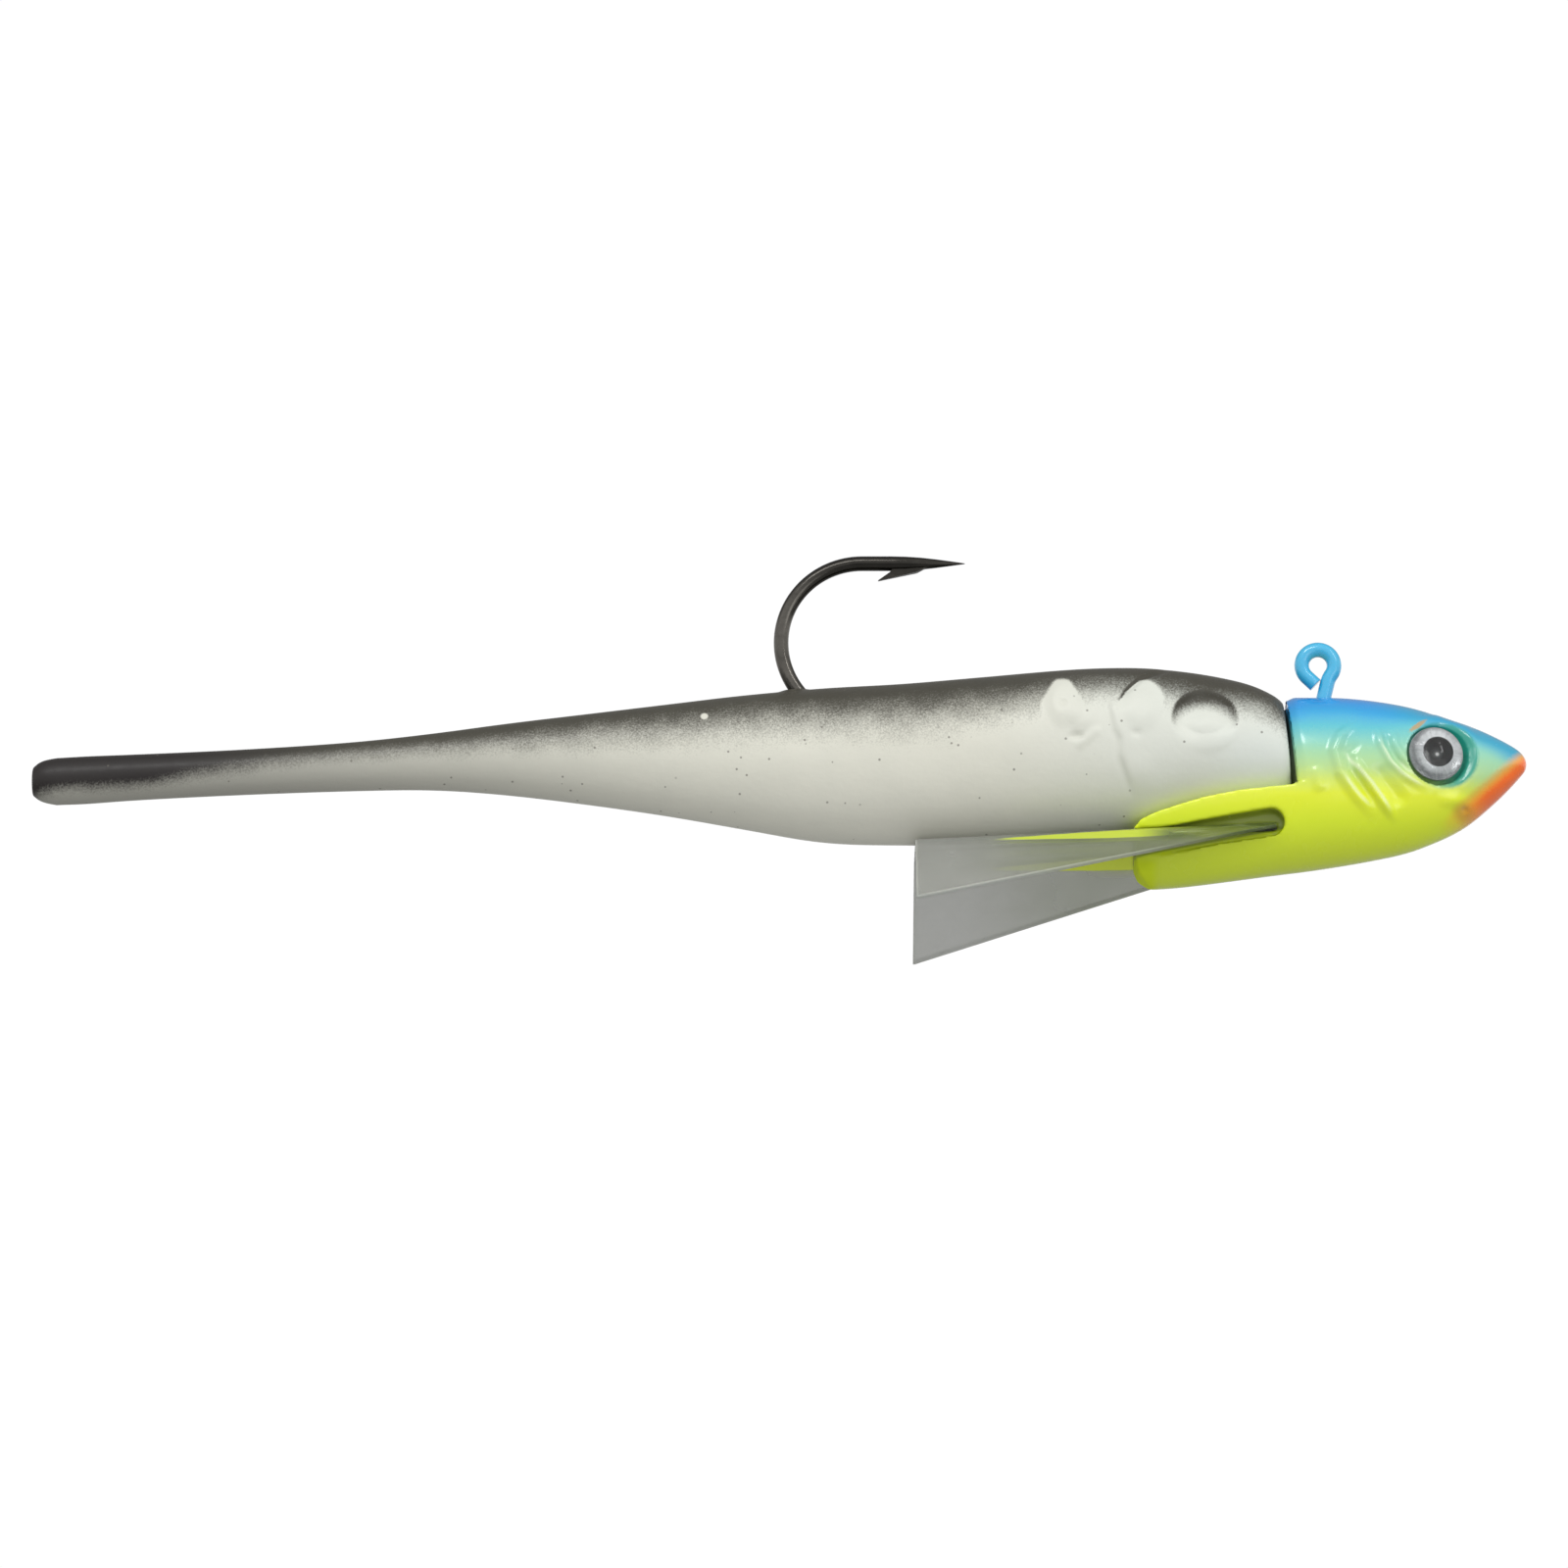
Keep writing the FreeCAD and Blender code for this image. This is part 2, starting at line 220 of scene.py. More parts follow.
def pushed(piece, height, weight, reach, direction="NORMAL"):
    """Move the surface along its normals or an axis by height times weight(point), within a box.

    reach is the box's (low, high) corners. weight gives 0 to 1 for a point in it."""
    low, high = Vector(reach[0]), Vector(reach[1])
    group = piece.vertex_groups.new(name="push")
    for vertex in piece.data.vertices:
        p = vertex.co
        if low.x < p.x < high.x and low.y < p.y < high.y and low.z < p.z < high.z:
            amount = weight(p)
            if amount > 0.002:
                group.add([vertex.index], min(amount, 1.0), "REPLACE")
    modified(piece, "DISPLACE", strength=height, mid_level=0, direction=direction, vertex_group="push")
    piece.vertex_groups.remove(piece.vertex_groups["push"])
    return piece


def hump(distance, width):
    """1 at no distance, falling smoothly to 0 at width."""
    return 1 - ease(0, width, distance)


def path_distance(p, path):
    """Distance in the XZ plane from p to a row of (x, z) points, the share along it, and whether p
    is on its left as it runs."""
    best = (1e9, 0.0, False)
    last = len(path) - 1
    for i in range(last):
        ax, az = path[i]
        bx, bz = path[i + 1]
        dx, dz = bx - ax, bz - az
        t = ((p.x - ax) * dx + (p.z - az) * dz) / (dx * dx + dz * dz)
        t = min(max(t, 0.0), 1.0)
        gap = hypot(p.x - ax - t * dx, p.z - az - t * dz)
        if gap < best[0]:
            best = (gap, (i + t) / last, dx * (p.z - az) > dz * (p.x - ax))
    return best


def one_cheek(low, high, side):
    """A reach between two (x, z) corners, on one side only."""
    low_y, high_y = (0.5, 30) if side > 0 else (-30, -0.5)
    return ((low[0], low_y, low[1]), (high[0], high_y, high[1]))


def ridge(piece, height, path, width, side, steep=9):
    """Raise or sink a soft line on one cheek, tapering to nothing at both ends.

    A small steep makes the line's right side fall off sharply, as at the edge of a plate."""
    xs = [x for x, z in path]
    zs = [z for x, z in path]

    def weight(p):
        gap, along, leftward = path_distance(p, path)
        ends = ease(0, 0.25, along) * (1 - ease(0.75, 1, along))
        return hump(gap, width if leftward else min(width, steep)) * ends

    low = (min(xs) - width, min(zs) - width)
    high = (max(xs) + width, max(zs) + width)
    return pushed(piece, height, weight, one_cheek(low, high, side))


def spot(piece, height, centre, radii, side, flat=0.0):
    """Raise or sink an oval place on one cheek; flat is the share of it that stays level."""
    cx, cz = centre
    rx, rz = radii

    def weight(p):
        return 1 - ease(flat, 1, hypot((p.x - cx) / rx, (p.z - cz) / rz))

    return pushed(piece, height, weight, one_cheek((cx - rx, cz - rz), (cx + rx, cz + rz), side))


# ---- soft body

BODY_LENGTH = FACE_X - TIP_X
BODY_WIDTH = [(0, 5.9), (0.8, 6.4), (3.3, 6.75), (7.7, 7.03), (16, 7.36), (23, 7.4), (34, 7.2), (42, 7.0),
              (51, 6.6), (60, 6.0), (68, 5.2), (77, 4.3), (86, 3.5), (94, 2.8), (103, 2.48), (116, 2.3),
              (128, 2.3), (135, 2.32), (137.4, 2.1), (138.4, 1.5)]
BODY_BACK = [(0, -4.6), (0.8, -3.75), (3.3, -2.4), (7.7, -1.3), (12, -0.65), (16.3, -0.3), (23, -0.45),
             (33.7, -1.36), (42.3, -2.1), (51, -2.6), (60, -3.43), (68, -4.4), (77, -5.5), (86, -6.6),
             (94, -7.7), (103, -8.7), (116, -9.57), (128, -10.12), (135, -10.42), (137.4, -10.85),
             (138.4, -11.7)]
BODY_BELLY = [(0, -15.9), (0.8, -16.4), (3.3, -16.7), (7.7, -17.1), (12, -17.7), (16.3, -18.7),
              (23, -19.45), (33.7, -20.2), (42.3, -20.33), (51, -20.03), (60, -18.5), (68, -17.07),
              (77, -15.75), (86, -14.66), (94, -14.1), (103, -14.2), (116, -14.67), (128, -15.3),
              (135, -15.82), (137.4, -15.4), (138.4, -14.6)]


def body_station(along, grow=0.0):
    return (FACE_X - along, smooth_profile(BODY_WIDTH, along) + grow,
            smooth_profile(BODY_BACK, along) + grow, smooth_profile(BODY_BELLY, along) - grow)


def body_shape(name, fine, sides):
    """The whole soft body. fine is the distance between its first rings."""
    places = [0, 0.3, 0.8, 1.6]
    while places[-1] < 64:
        places.append(places[-1] + fine)
    while places[-1] < BODY_LENGTH - 4.5:
        places.append(places[-1] + 2 * fine)
    places += [BODY_LENGTH - 3, BODY_LENGTH - 1.7, BODY_LENGTH - 0.8, BODY_LENGTH - 0.25, BODY_LENGTH]
    return ringed(name, [body_station(along) for along in places], sides)


GILL_EDGE = [(-22.6, -3.6), (-23.0, -6.0), (-22.5, -8.6), (-21.8, -9.8), (-21.9, -11.6), (-20.9, -14.2),
             (-20.0, -16.4)]
GILL_CREASE = [(-22.2, -5.4), (-21.3, -3.9), (-19.9, -2.5), (-18.2, -1.6), (-16.2, -1.1)]
SOCKET_X = -12.85
SOCKET_Z = -7.5


def socket_depth(p):
    """The eye socket: level in the middle, with a steep upper edge and a soft lower one."""
    level = 0.35 + 0.45 * ease(-10.2, -6.8, p.z)
    return 1 - ease(level, 1, hypot((p.x - SOCKET_X) / 3.85, (p.z - SOCKET_Z) / 3.7))


def sculpted_body():
    body = smoother(body_shape("soft_body", 1.7, 24), 3)
    for side in (-1, 1):
        # eye socket, steep above and soft below, with its raised ball
        pushed(body, -0.7, socket_depth, one_cheek((-16.8, -11.3), (-8.9, -3.7), side))
        spot(body, 0.62, (-12.5, -8.7), (3.4, 2.9), side, 0.1)
        # gill plate with its steep rear edge, and the crease that rises from it
        ridge(body, 0.30, GILL_EDGE, 3.4, side, 0.75)
        ridge(body, -0.10, [(x - 0.5, z) for x, z in GILL_EDGE], 0.8, side)
        ridge(body, -0.30, GILL_CREASE, 0.7, side)
        spot(body, 0.34, (-19.9, -6.4), (2.5, 3.2), side, 0.3)
        spot(body, -0.20, (-20.4, -9.2), (0.9, 0.6), side)
        # shoulder fin bump with its dimple, and a smaller scale below
        spot(body, 0.46, (-28.3, -5.3), (2.5, 3.7), side, 0.35)
        spot(body, 0.26, (-26.2, -7.4), (2.0, 2.0), side, 0.2)
        spot(body, -0.30, (-28.4, -5.6), (0.55, 0.5), side)
        spot(body, -0.34, (-27.0, -9.5), (1.2, 0.6), side, 0.2)
        ridge(body, 0.16, [(-27.2, -11.0), (-25.6, -9.6), (-24.2, -8.4)], 0.8, side)
        # shallow hand-poured unevenness along the flank
        for x, z, high in ((-35, -9, 0.10), (-43, -12, -0.10), (-51, -8, 0.08), (-60, -12, 0.08)):
            spot(body, high, (x, z), (5.5, 4.0), side)
    exit_x = HOOK_REAR_X + 2 * WIRE

    def lean(p):
        return ease(FACE_X - 8, FACE_X - 0.5, p.x) * ease(-5, -16, p.z)

    def pucker(p):
        return hump(abs(hypot(p.x - exit_x - 0.6, p.y) - WIRE), 1.3)

    # the face leans, so that its lower edge sits further forward
    pushed(body, 0.7, lean, ((FACE_X - 8, -20, -30), (FACE_X + 1, 20, 5)), "X")
    # pucker where the hook leaves the back
    pushed(body, 0.22, pucker, ((exit_x - 4, -3, -5), (exit_x + 4, 3, 1)))
    return body


def split_at(piece, x, name):
    """Part a closed piece at x. Returns the front part; the rear part gets the name."""
    rear = piece.copy()
    rear.data = piece.data.copy()
    rear.name = name
    rear.data.name = name
    bpy.context.collection.objects.link(rear)
    for part, keep_front in ((piece, True), (rear, False)):
        editing(part)
        take_all()
        bpy.ops.mesh.bisect(plane_co=(x, 0, 0), plane_no=(1, 0, 0), use_fill=True,
                            clear_inner=keep_front, clear_outer=not keep_front)
        done_editing()
    return piece, rear


def remember_place(piece):
    """Keep each point's rest place as an attribute, so that the spray pattern bends with the body."""
    place = piece.data.attributes.new("rest_place", "FLOAT_VECTOR", "POINT")
    for vertex, value in zip(piece.data.vertices, place.data):
        value.vector = vertex.co


def remember(piece, name, share_at):
    """Keep on the mesh, as an attribute, a share for each point's x, y and z in millimetres."""
    kept = piece.data.attributes.new(name, "FLOAT", "POINT")
    kept.data.foreach_set("value", [share_at(*(vertex.co / MM)) for vertex in piece.data.vertices])


# ---- cast head

HEAD_WIDTH = [(-23, 5.2), (-18.5, 5.6), (-15, 5.95), (-10, 6.35), (-5, 6.7), (-1, 6.8), (4, 6.62), (8, 6.3),
              (10.2, 6.02), (12.3, 5.7), (14.5, 5.3), (16.7, 4.7), (18.8, 3.8), (21, 2.6), (22.2, 1.7),
              (22.8, 0.95), (22.95, 0.5)]
HEAD_TOP = [(-23, -3.6), (2, -3.63), (4, -3.76), (8, -4.3), (10.2, -4.75), (12.3, -5.4), (14.5, -6.2),
            (16.7, -6.85), (18.8, -7.8), (21, -8.95), (22.2, -9.75), (22.8, -10.5), (22.95, -10.9)]
HEAD_KEEL = [(-23, -25.3), (-18.5, -25.45), (-15, -25.15), (-10, -24.5), (-5, -23.8), (-1, -23.3),
             (4, -22.48), (8, -21.7), (10.2, -21.15), (12.3, -20.3), (14.5, -19.35), (16.7, -18.05),
             (18.8, -16.2), (21, -14.1), (22.2, -12.7), (22.8, -12.0), (22.95, -11.6)]
CRADLE_REAR_X = -20.6
RIM = [(-9.1, -15.3), (-13.1, -16.05), (-15.9, -16.85), (-18.3, -17.6), (-19.9, -18.35), (-20.6, -19.2)]
SLOT_ROOF = [(-9, -17.85), (-13.1, -18.55), (-15.9, -19.05), (-19, -19.4), (-24, -19.7)]
SLOT_FLOOR = [(-24, -23.3), (-20.1, -22.9), (-15.9, -21.93), (-11.2, -21.04), (-5.6, -20.25)]
SLOT_NOSE = (-5.6, -18.77)
SLOT_RADIUS = 1.48
SLIT_HALF = 0.36
SLIT_FRONT_X = WING_ROOT.x + 0.14
FAR_X = -40
# the film rises by the first over a length of the second
FILM_SLOPE = (1.95, 39.7)
KEEPER_RADIUS = 1.5
BARB_RADIUS = 2.0
VOXEL = 0.19
HEAD_FACE_LEAN = 0.1032
HEEL = [(-30, -20), (-20.6, -20), (-20.55, -22.9), (-20.1, -24.0), (-19.0, -25.05), (-17.0, -25.75),
        (-16.4, -27), (-30, -27)]
CRADLE_END = [(-30, -22), (-20.7, -22), (-20.7, -10), (-30, -10)]


def first_point(name, place):
    """A new piece of one selected vertex, open in edit mode."""
    pick_none()
    bpy.ops.mesh.primitive_plane_add(size=1)
    piece = named(name)
    editing(piece)
    take_all()
    bpy.ops.mesh.merge(type="CENTER")
    bpy.ops.transform.translate(value=place)
    return piece


def run_point(step):
    bpy.ops.mesh.extrude_vertices_move(TRANSFORM_OT_translate={"value": step})


def plate(name, outline, low_y=-20, high_y=20):
    """Solid plate from a closed (x, z) outline, between two distances along Y."""
    x, z = outline[0]
    piece = first_point(name, (x, low_y, z))
    for new_x, new_z in outline[1:]:
        run_point((new_x - x, 0, new_z - z))
        x, z = new_x, new_z
    take_all()
    bpy.ops.mesh.edge_face_add()
    bpy.ops.mesh.extrude_region_move(TRANSFORM_OT_translate={"value": (0, high_y - low_y, 0)})
    done_editing()
    return outward(piece)


def film_height(x):
    return WING_ROOT.z + (x - WING_ROOT.x) * FILM_SLOPE[0] / FILM_SLOPE[1]


def head_face(z):
    """The head's rear face leans, so that its lower edge sits further forward."""
    return HEAD_REAR_X - 2.1 + (10 - z) * HEAD_FACE_LEAN


def head_shell():
    places = [-23, -20, -17, -14, -11, -8, -5, -2.5, 0, 2.5, 5, 7.5, 10, 12.3, 14.5, 16.7, 18.8, 20.4, 21.6,
              22.3, 22.7, 22.95]
    stations = [(x, *(smooth_profile(line, x) for line in (HEAD_WIDTH, HEAD_TOP, HEAD_KEEL)))
                for x in places]
    return smoother(ringed("head_casting_painted", stations, 24), 3)


def sculpted_head():
    head = head_shell()
    # room for the soft body above the cradle, and the trough that its belly lies in
    room = [(head_face(10), 10), (head_face(-14.7), -14.7)] + RIM + [(FAR_X, RIM[-1][1]), (FAR_X, 10)]
    cut(head, plate("over_rim", room))
    stations = [body_station(along, 0.12) for along in range(0, 40, 4)]
    stations[0] = (stations[0][0] + 0.4,) + stations[0][1:]
    cut(head, smoother(ringed("trough", stations, 24), 2))
    # the film's thin slit, and its tall mouth at each side
    front_z, rear_z = film_height(WING_ROOT.x), film_height(FAR_X)
    slit = [(SLIT_FRONT_X, front_z + SLIT_HALF), (FAR_X, rear_z + SLIT_HALF),
            (FAR_X, rear_z - SLIT_HALF), (SLIT_FRONT_X, front_z - SLIT_HALF)]
    cut(head, plate("slit", slit))
    turns = [radians(-88 + 176 * i / 10) for i in range(11)]
    mouth = [(SLOT_NOSE[0] + SLOT_RADIUS * cos(t), SLOT_NOSE[1] + SLOT_RADIUS * sin(t)) for t in turns]
    mouth += SLOT_ROOF + SLOT_FLOOR
    for low_y, high_y in ((-20, -3.8), (3.8, 20)):
        cut(head, plate("slot_mouth", mouth, low_y, high_y))
    # rear ends of the keel and the cradle
    cut(head, plate("heel", HEEL))
    cut(head, plate("tip", CRADLE_END))
    # bait keeper with its barbed ridges, inside the soft body
    ridges = [(HEAD_REAR_X + 1, KEEPER_RADIUS)]
    for ridge_x in (-5, -8.2, -11.4):
        ridges += [(ridge_x + 0.2, KEEPER_RADIUS), (ridge_x, BARB_RADIUS), (ridge_x - 1.6, KEEPER_RADIUS)]
    ridges.append((HEAD_REAR_X - 9.6, KEEPER_RADIUS))
    keeper = ringed("keeper", [(x, r, SHANK_Z + r, SHANK_Z - r) for x, r in ridges], 24)
    cut(head, keeper, "UNION")
    # the low step on the head's rear face that the bait is pushed up against
    neck = [(HEAD_REAR_X + 1.5, 4.9, -7.6, -15.8), (FACE_X + 0.3, 4.9, -7.6, -15.8)]
    cut(head, ringed("neck", neck, 48), "UNION")
    modified(head, "REMESH", mode="VOXEL", voxel_size=VOXEL)
    modified(head, "SMOOTH", factor=0.5, iterations=7)
    # rounded edge at the head's rear, and rounded corners on the keel's heel
    pushed(head, -0.42, rear_edge, ((-4.5, -8, -14.4), (-1.0, 8, 0)))
    for reach in (1.6, 3.0):
        pushed(head, -0.5, lambda p: heel_corner(p, reach), ((-22, -8, -27), (-17, 8, -20)))
    for side in (-1, 1):
        sculpt_cheek(head, side)
    return head


def rear_edge(p):
    half_width = smooth_profile(HEAD_WIDTH, p.x)
    rim = hypot(p.y / half_width, (p.z + 13.5) / 9.9)
    return ease(1.4, 0.1, p.x - head_face(p.z)) * ease(0.72, 0.9, rim)


def heel_corner(p, reach):
    low = ease(-20.2, -21.5, p.z) * ease(2.0, 5.2, abs(p.y))
    return ease(CRADLE_REAR_X + reach, -20.4, p.x) * low


# raised and sunk lines of the gill plates: height, width, and (x, z) path
GILL_LINES = [
    (0.42, 1.0, [(4.1, -7.4), (2.1, -9.2), (1.4, -11.0), (2.0, -13.4), (3.9, -16.1), (6.3, -18.7)]),
    (-0.26, 0.8, [(4.4, -9.6), (3.0, -11.2), (3.4, -13.1), (4.9, -15.3), (6.6, -17.2)]),
    (0.5, 0.8, [(3.4, -11.6), (4.3, -13.2), (5.3, -14.7), (6.6, -16.5), (8.4, -18.9)]),
    (-0.36, 1.3, [(5.6, -12.2), (6.8, -14.2), (8.0, -15.6), (9.2, -17.2)]),
    (0.34, 0.8, [(6.0, -7.4), (6.5, -10.1), (7.6, -12.2), (9.3, -13.8), (12.0, -15.2)]),
    (-0.18, 0.7, [(7.2, -8.6), (7.4, -10.2), (8.4, -12.0), (9.8, -13.2)]),
    (0.26, 0.8, [(7.9, -8.2), (8.1, -10.2), (9.1, -12.0), (10.6, -13.5)]),
    (0.18, 1.1, [(-0.8, -12.6), (-0.5, -14.2), (0.0, -15.8)]),
]


def sculpt_cheek(head, side):
    """Gill plates, eye recess and mouth of one cheek."""
    for height, width, path in GILL_LINES:
        ridge(head, height, path, width, side)
    # recess round the eye, and the flat seat that the eye is glued in
    spot(head, -0.42, (13.25, -11.05), (4.0, 4.0), side, 0.8)
    spot(head, -1.0, (12.85, -11.1), (3.5, 3.5), side, 0.9)
    # brow over the recess, cheek bump under it, and the mouth line with its corner
    ridge(head, 0.22, [(10.0, -7.2), (13.0, -6.7), (16.0, -7.9), (17.8, -10.0)], 1.2, side)
    spot(head, 0.22, (14.6, -16.2), (2.4, 1.2), side)
    ridge(head, -0.14, [(22.6, -11.3), (20.6, -12.7), (18.6, -14.4), (16.6, -16.1), (15.0, -17.4)], 0.8,
          side)
    spot(head, -0.22, (15.9, -17.0), (0.6, 0.5), side)


# ---- jig hook

EYE_RADIUS = 1.79
BEND_RADIUS = 9.0
BEND_X = HOOK_REAR_X + WIRE + BEND_RADIUS
LEG_Z = SHANK_Z + 2 * BEND_RADIUS
LEG_STRAIGHT = 3.2


def spun(steps, degrees, centre):
    """Carry the selected ring round a centre in the XZ plane."""
    bpy.ops.mesh.spin(steps=steps, angle=-radians(degrees), center=centre, axis=(0, 1, 0))


def run_on(distance, direction, steps=1):
    for _ in range(steps):
        run_edges(Vector(direction).normalized() * distance / steps)


def turned(name, ring_centre, facing, moves):
    """Draw a round wire: a ring of the wire's size, then a list of run and spin moves."""
    pick_none()
    bpy.ops.mesh.primitive_circle_add(vertices=24, radius=WIRE)
    piece = named(name)
    piece.rotation_euler = Vector(facing).to_track_quat("Z", "Y").to_euler()
    piece.location = ring_centre
    place_applied(piece)
    editing(piece)
    take_all()
    for move, *values in moves:
        move(*values)
    done_editing()
    return piece


EYE_TAIL = (-0.28, -2.2)
LOOP_END = -36.0
STEM_LEAN = 14.0
SWAN_RADIUS = 2.5
CORNER_RADIUS = 2.2


def heading(degrees):
    """Unit direction in the XZ plane, clockwise from straight up."""
    turn = radians(degrees)
    return Vector((sin(turn), 0, cos(turn)))


def modelled_hook():
    """One wire: eye loop, stem, corner, shank, bend and tapered point, with its barb."""
    tail = Vector((EYE_TAIL[0], 0, EYE_TAIL[1]))
    loop_start = degrees(atan2(tail.z, tail.x)) % 360
    loop_start -= degrees(acos(EYE_RADIUS / tail.length))
    straight = sqrt(tail.length ** 2 - EYE_RADIUS ** 2)
    start_heading = 180 - loop_start
    low_turn = radians(LOOP_END)
    loop_low = Vector((cos(low_turn), 0, sin(low_turn))) * EYE_RADIUS
    down = 180 - LOOP_END
    swan_centre = loop_low + heading(down - 90) * SWAN_RADIUS
    stem_down = 180 + STEM_LEAN
    stem_top = swan_centre - heading(stem_down - 90) * SWAN_RADIUS
    stem_dir = heading(stem_down)
    full = (SHANK_Z - stem_top.z) / stem_dir.z
    corner_turn = 90 - STEM_LEAN
    trim = CORNER_RADIUS * tan(radians(corner_turn / 2))
    corner = stem_top + stem_dir * full
    shank_front = corner.x - trim
    corner_centre = (shank_front, 0, SHANK_Z + CORNER_RADIUS)
    moves = [
        (run_on, straight, heading(start_heading), 2),
        (spun, 44, loop_start - LOOP_END, (0, 0, 0)),
        (spun, 5, -(down - stem_down), swan_centre),
        (run_on, full - trim, stem_dir, 4),
        (spun, 12, corner_turn, corner_centre),
        (run_on, shank_front - BEND_X, (-1, 0, 0), 20),
        (spun, 60, 180, (BEND_X, 0, SHANK_Z + BEND_RADIUS)),
        (run_on, LEG_STRAIGHT, (1, 0, 0), 4),
    ]
    hook = turned("jig_hook_wire", tail, heading(start_heading), moves)
    editing(hook)
    radius = WIRE
    x = BEND_X + LEG_STRAIGHT
    for step, new_radius in ((1.6, 0.79), (1.7, 0.68), (1.6, 0.5), (1.5, 0.3), (1.2, 0.13), (0.6, 0.04)):
        run_edges((step, 0, 0))
        x += step
        share = new_radius / radius
        resized(1, share, share, (x, 0, LEG_Z))
        radius = new_radius
    closed(hook)
    modified(hook, "BEVEL", width=0.12, segments=2, limit_method="ANGLE", angle_limit=radians(60))
    cut(hook, barb_sliver(), "UNION")
    return hook


def barb_sliver():
    """Flat-sided sliver raised from under the leg, its tip pointing back to the bend."""
    tip_x = BEND_X + 1.75
    outline = [(tip_x + 5.6, LEG_Z - 0.35), (tip_x + 4.3, LEG_Z - 1.02), (tip_x, LEG_Z - 2.0),
               (tip_x + 0.05, LEG_Z - 1.88), (tip_x + 1.3, LEG_Z - 1.05), (tip_x + 1.9, LEG_Z - 0.3)]
    sliver = plate("barb", outline, -0.42, 0.42)
    editing(sliver)
    bpy.ops.mesh.select_all(action="DESELECT")
    done_editing()
    for vertex in sliver.data.vertices:
        vertex.select = vertex.co.x < tip_x + 0.2
    editing(sliver)
    bpy.ops.mesh.select_mode(type="VERT")
    resized(1, 0.3, 1, (tip_x, 0, LEG_Z - 2))
    done_editing()
    return sliver


# ---- moulded eyes

EYE_YAW = 11.0
EYE_PITCH = 6.0
EYE_R = 3.05
EYE_SIDES = 96
DOME_HEIGHT = 0.95
EYE_SHIFT = Vector((-0.3, 0, 0))
FOIL = 0.3


def on_cheek(piece, side, word):
    """Turn a piece made along +Z to face out of one cheek, in its CAD foil's place."""
    low, high = node_box("eye_foil_" + word)
    yaw = Matrix.Rotation(radians(-side * EYE_YAW), 4, "Z")
    pitch = Matrix.Rotation(radians(-side * (90 - EYE_PITCH)), 4, "X")
    piece.matrix_world = Matrix.Translation((low + high) / 2 + EYE_SHIFT) @ (yaw @ pitch)
    return place_applied(piece)


def lathed(name, outline):
    """Round piece about Z from (radius, z) points, with flat ends."""
    pick_none()
    radius, z = outline[0]
    bpy.ops.mesh.primitive_circle_add(vertices=EYE_SIDES, radius=radius, location=(0, 0, z))
    piece = place_applied(named(name))
    editing(piece)
    take_all()
    for new_radius, new_z in outline[1:]:
        run_edges((0, 0, new_z - z))
        share = new_radius / radius
        resized(share, share, 1, (0, 0, new_z))
        radius, z = new_radius, new_z
    return closed(piece)


def modelled_foil(side, word):
    """Foil disc with a raised rim."""
    half = FOIL / 2
    outline = [(2.4, -half), (EYE_R - 0.06, -half), (EYE_R, -half + 0.06), (EYE_R, 0.08),
               (EYE_R - 0.08, half), (EYE_R - 0.2, half), (EYE_R - 0.34, half - 0.03),
               (2.1, half - 0.03), (1.2, half - 0.02), (0.5, half - 0.02)]
    return on_cheek(lathed("eye_foil_disc_" + word, outline), side, word)


def modelled_dome(side, word):
    """Clear domed lens with a rounded foot."""
    ball = (EYE_R ** 2 + DOME_HEIGHT ** 2) / (2 * DOME_HEIGHT)
    base = FOIL / 2 + 0.01
    outline = [(1.5, base), (EYE_R - 0.14, base), (EYE_R - 0.06, base + 0.04)]
    for step in range(1, 13):
        radius = (EYE_R - 0.05) * cos(pi / 2 * step / 12.5)
        outline.append((radius, base + sqrt(ball ** 2 - radius ** 2) - (ball - DOME_HEIGHT)))
    return on_cheek(lathed("eye_lens_" + word, outline), side, word)


# ---- film wings

FILM = 0.32
WING_DROOP = 35.5
FRONT_SPAN = 0.8
REAR_SPAN = 15.5
BEND_ZONE = 0.9
FILM_STEPS = 44


def film_half(side, word):
    """Half of the film sheet: from the middle plane, through the slit, to one drooping wing."""
    front, rear = WING_ROOT.x, WING_REAR_X
    root = WING_ROOT.y
    piece = first_point("film_sheet_" + word, (rear, 0, film_height(rear)))
    along = Vector((front - rear, 0, film_height(front) - film_height(rear)))
    for _ in range(FILM_STEPS):
        run_point(along / FILM_STEPS)
    take_all()
    out = 0.0
    length = 1.0
    place = Vector((rear, 0, film_height(rear)))
    stops = [1.5, 3.0, 4.2] + [root - BEND_ZONE + BEND_ZONE * 2 * i / 8 for i in range(9)]
    stops += [root + BEND_ZONE + (REAR_SPAN - BEND_ZONE) * (i / 20) for i in range(1, 21)]
    for stop in stops:
        middle = (out + stop) / 2
        droop = radians(WING_DROOP) * ease(root - BEND_ZONE, root + BEND_ZONE, middle)
        step = Vector((0, side * cos(droop), -sin(droop))) * (stop - out)
        run_edges(step)
        place += step
        share = min(1.0, 1 - (stop - root - FRONT_SPAN) / (REAR_SPAN - FRONT_SPAN) * 0.994)
        ratio = share / length
        resized(ratio, 1, ratio, place)
        out, length = stop, share
    done_editing()
    outward(piece)
    modified(piece, "SOLIDIFY", thickness=FILM, offset=0)
    modified(piece, "BEVEL", width=0.07, segments=2, limit_method="ANGLE", angle_limit=radians(50))
    return piece


# ---- shader tools

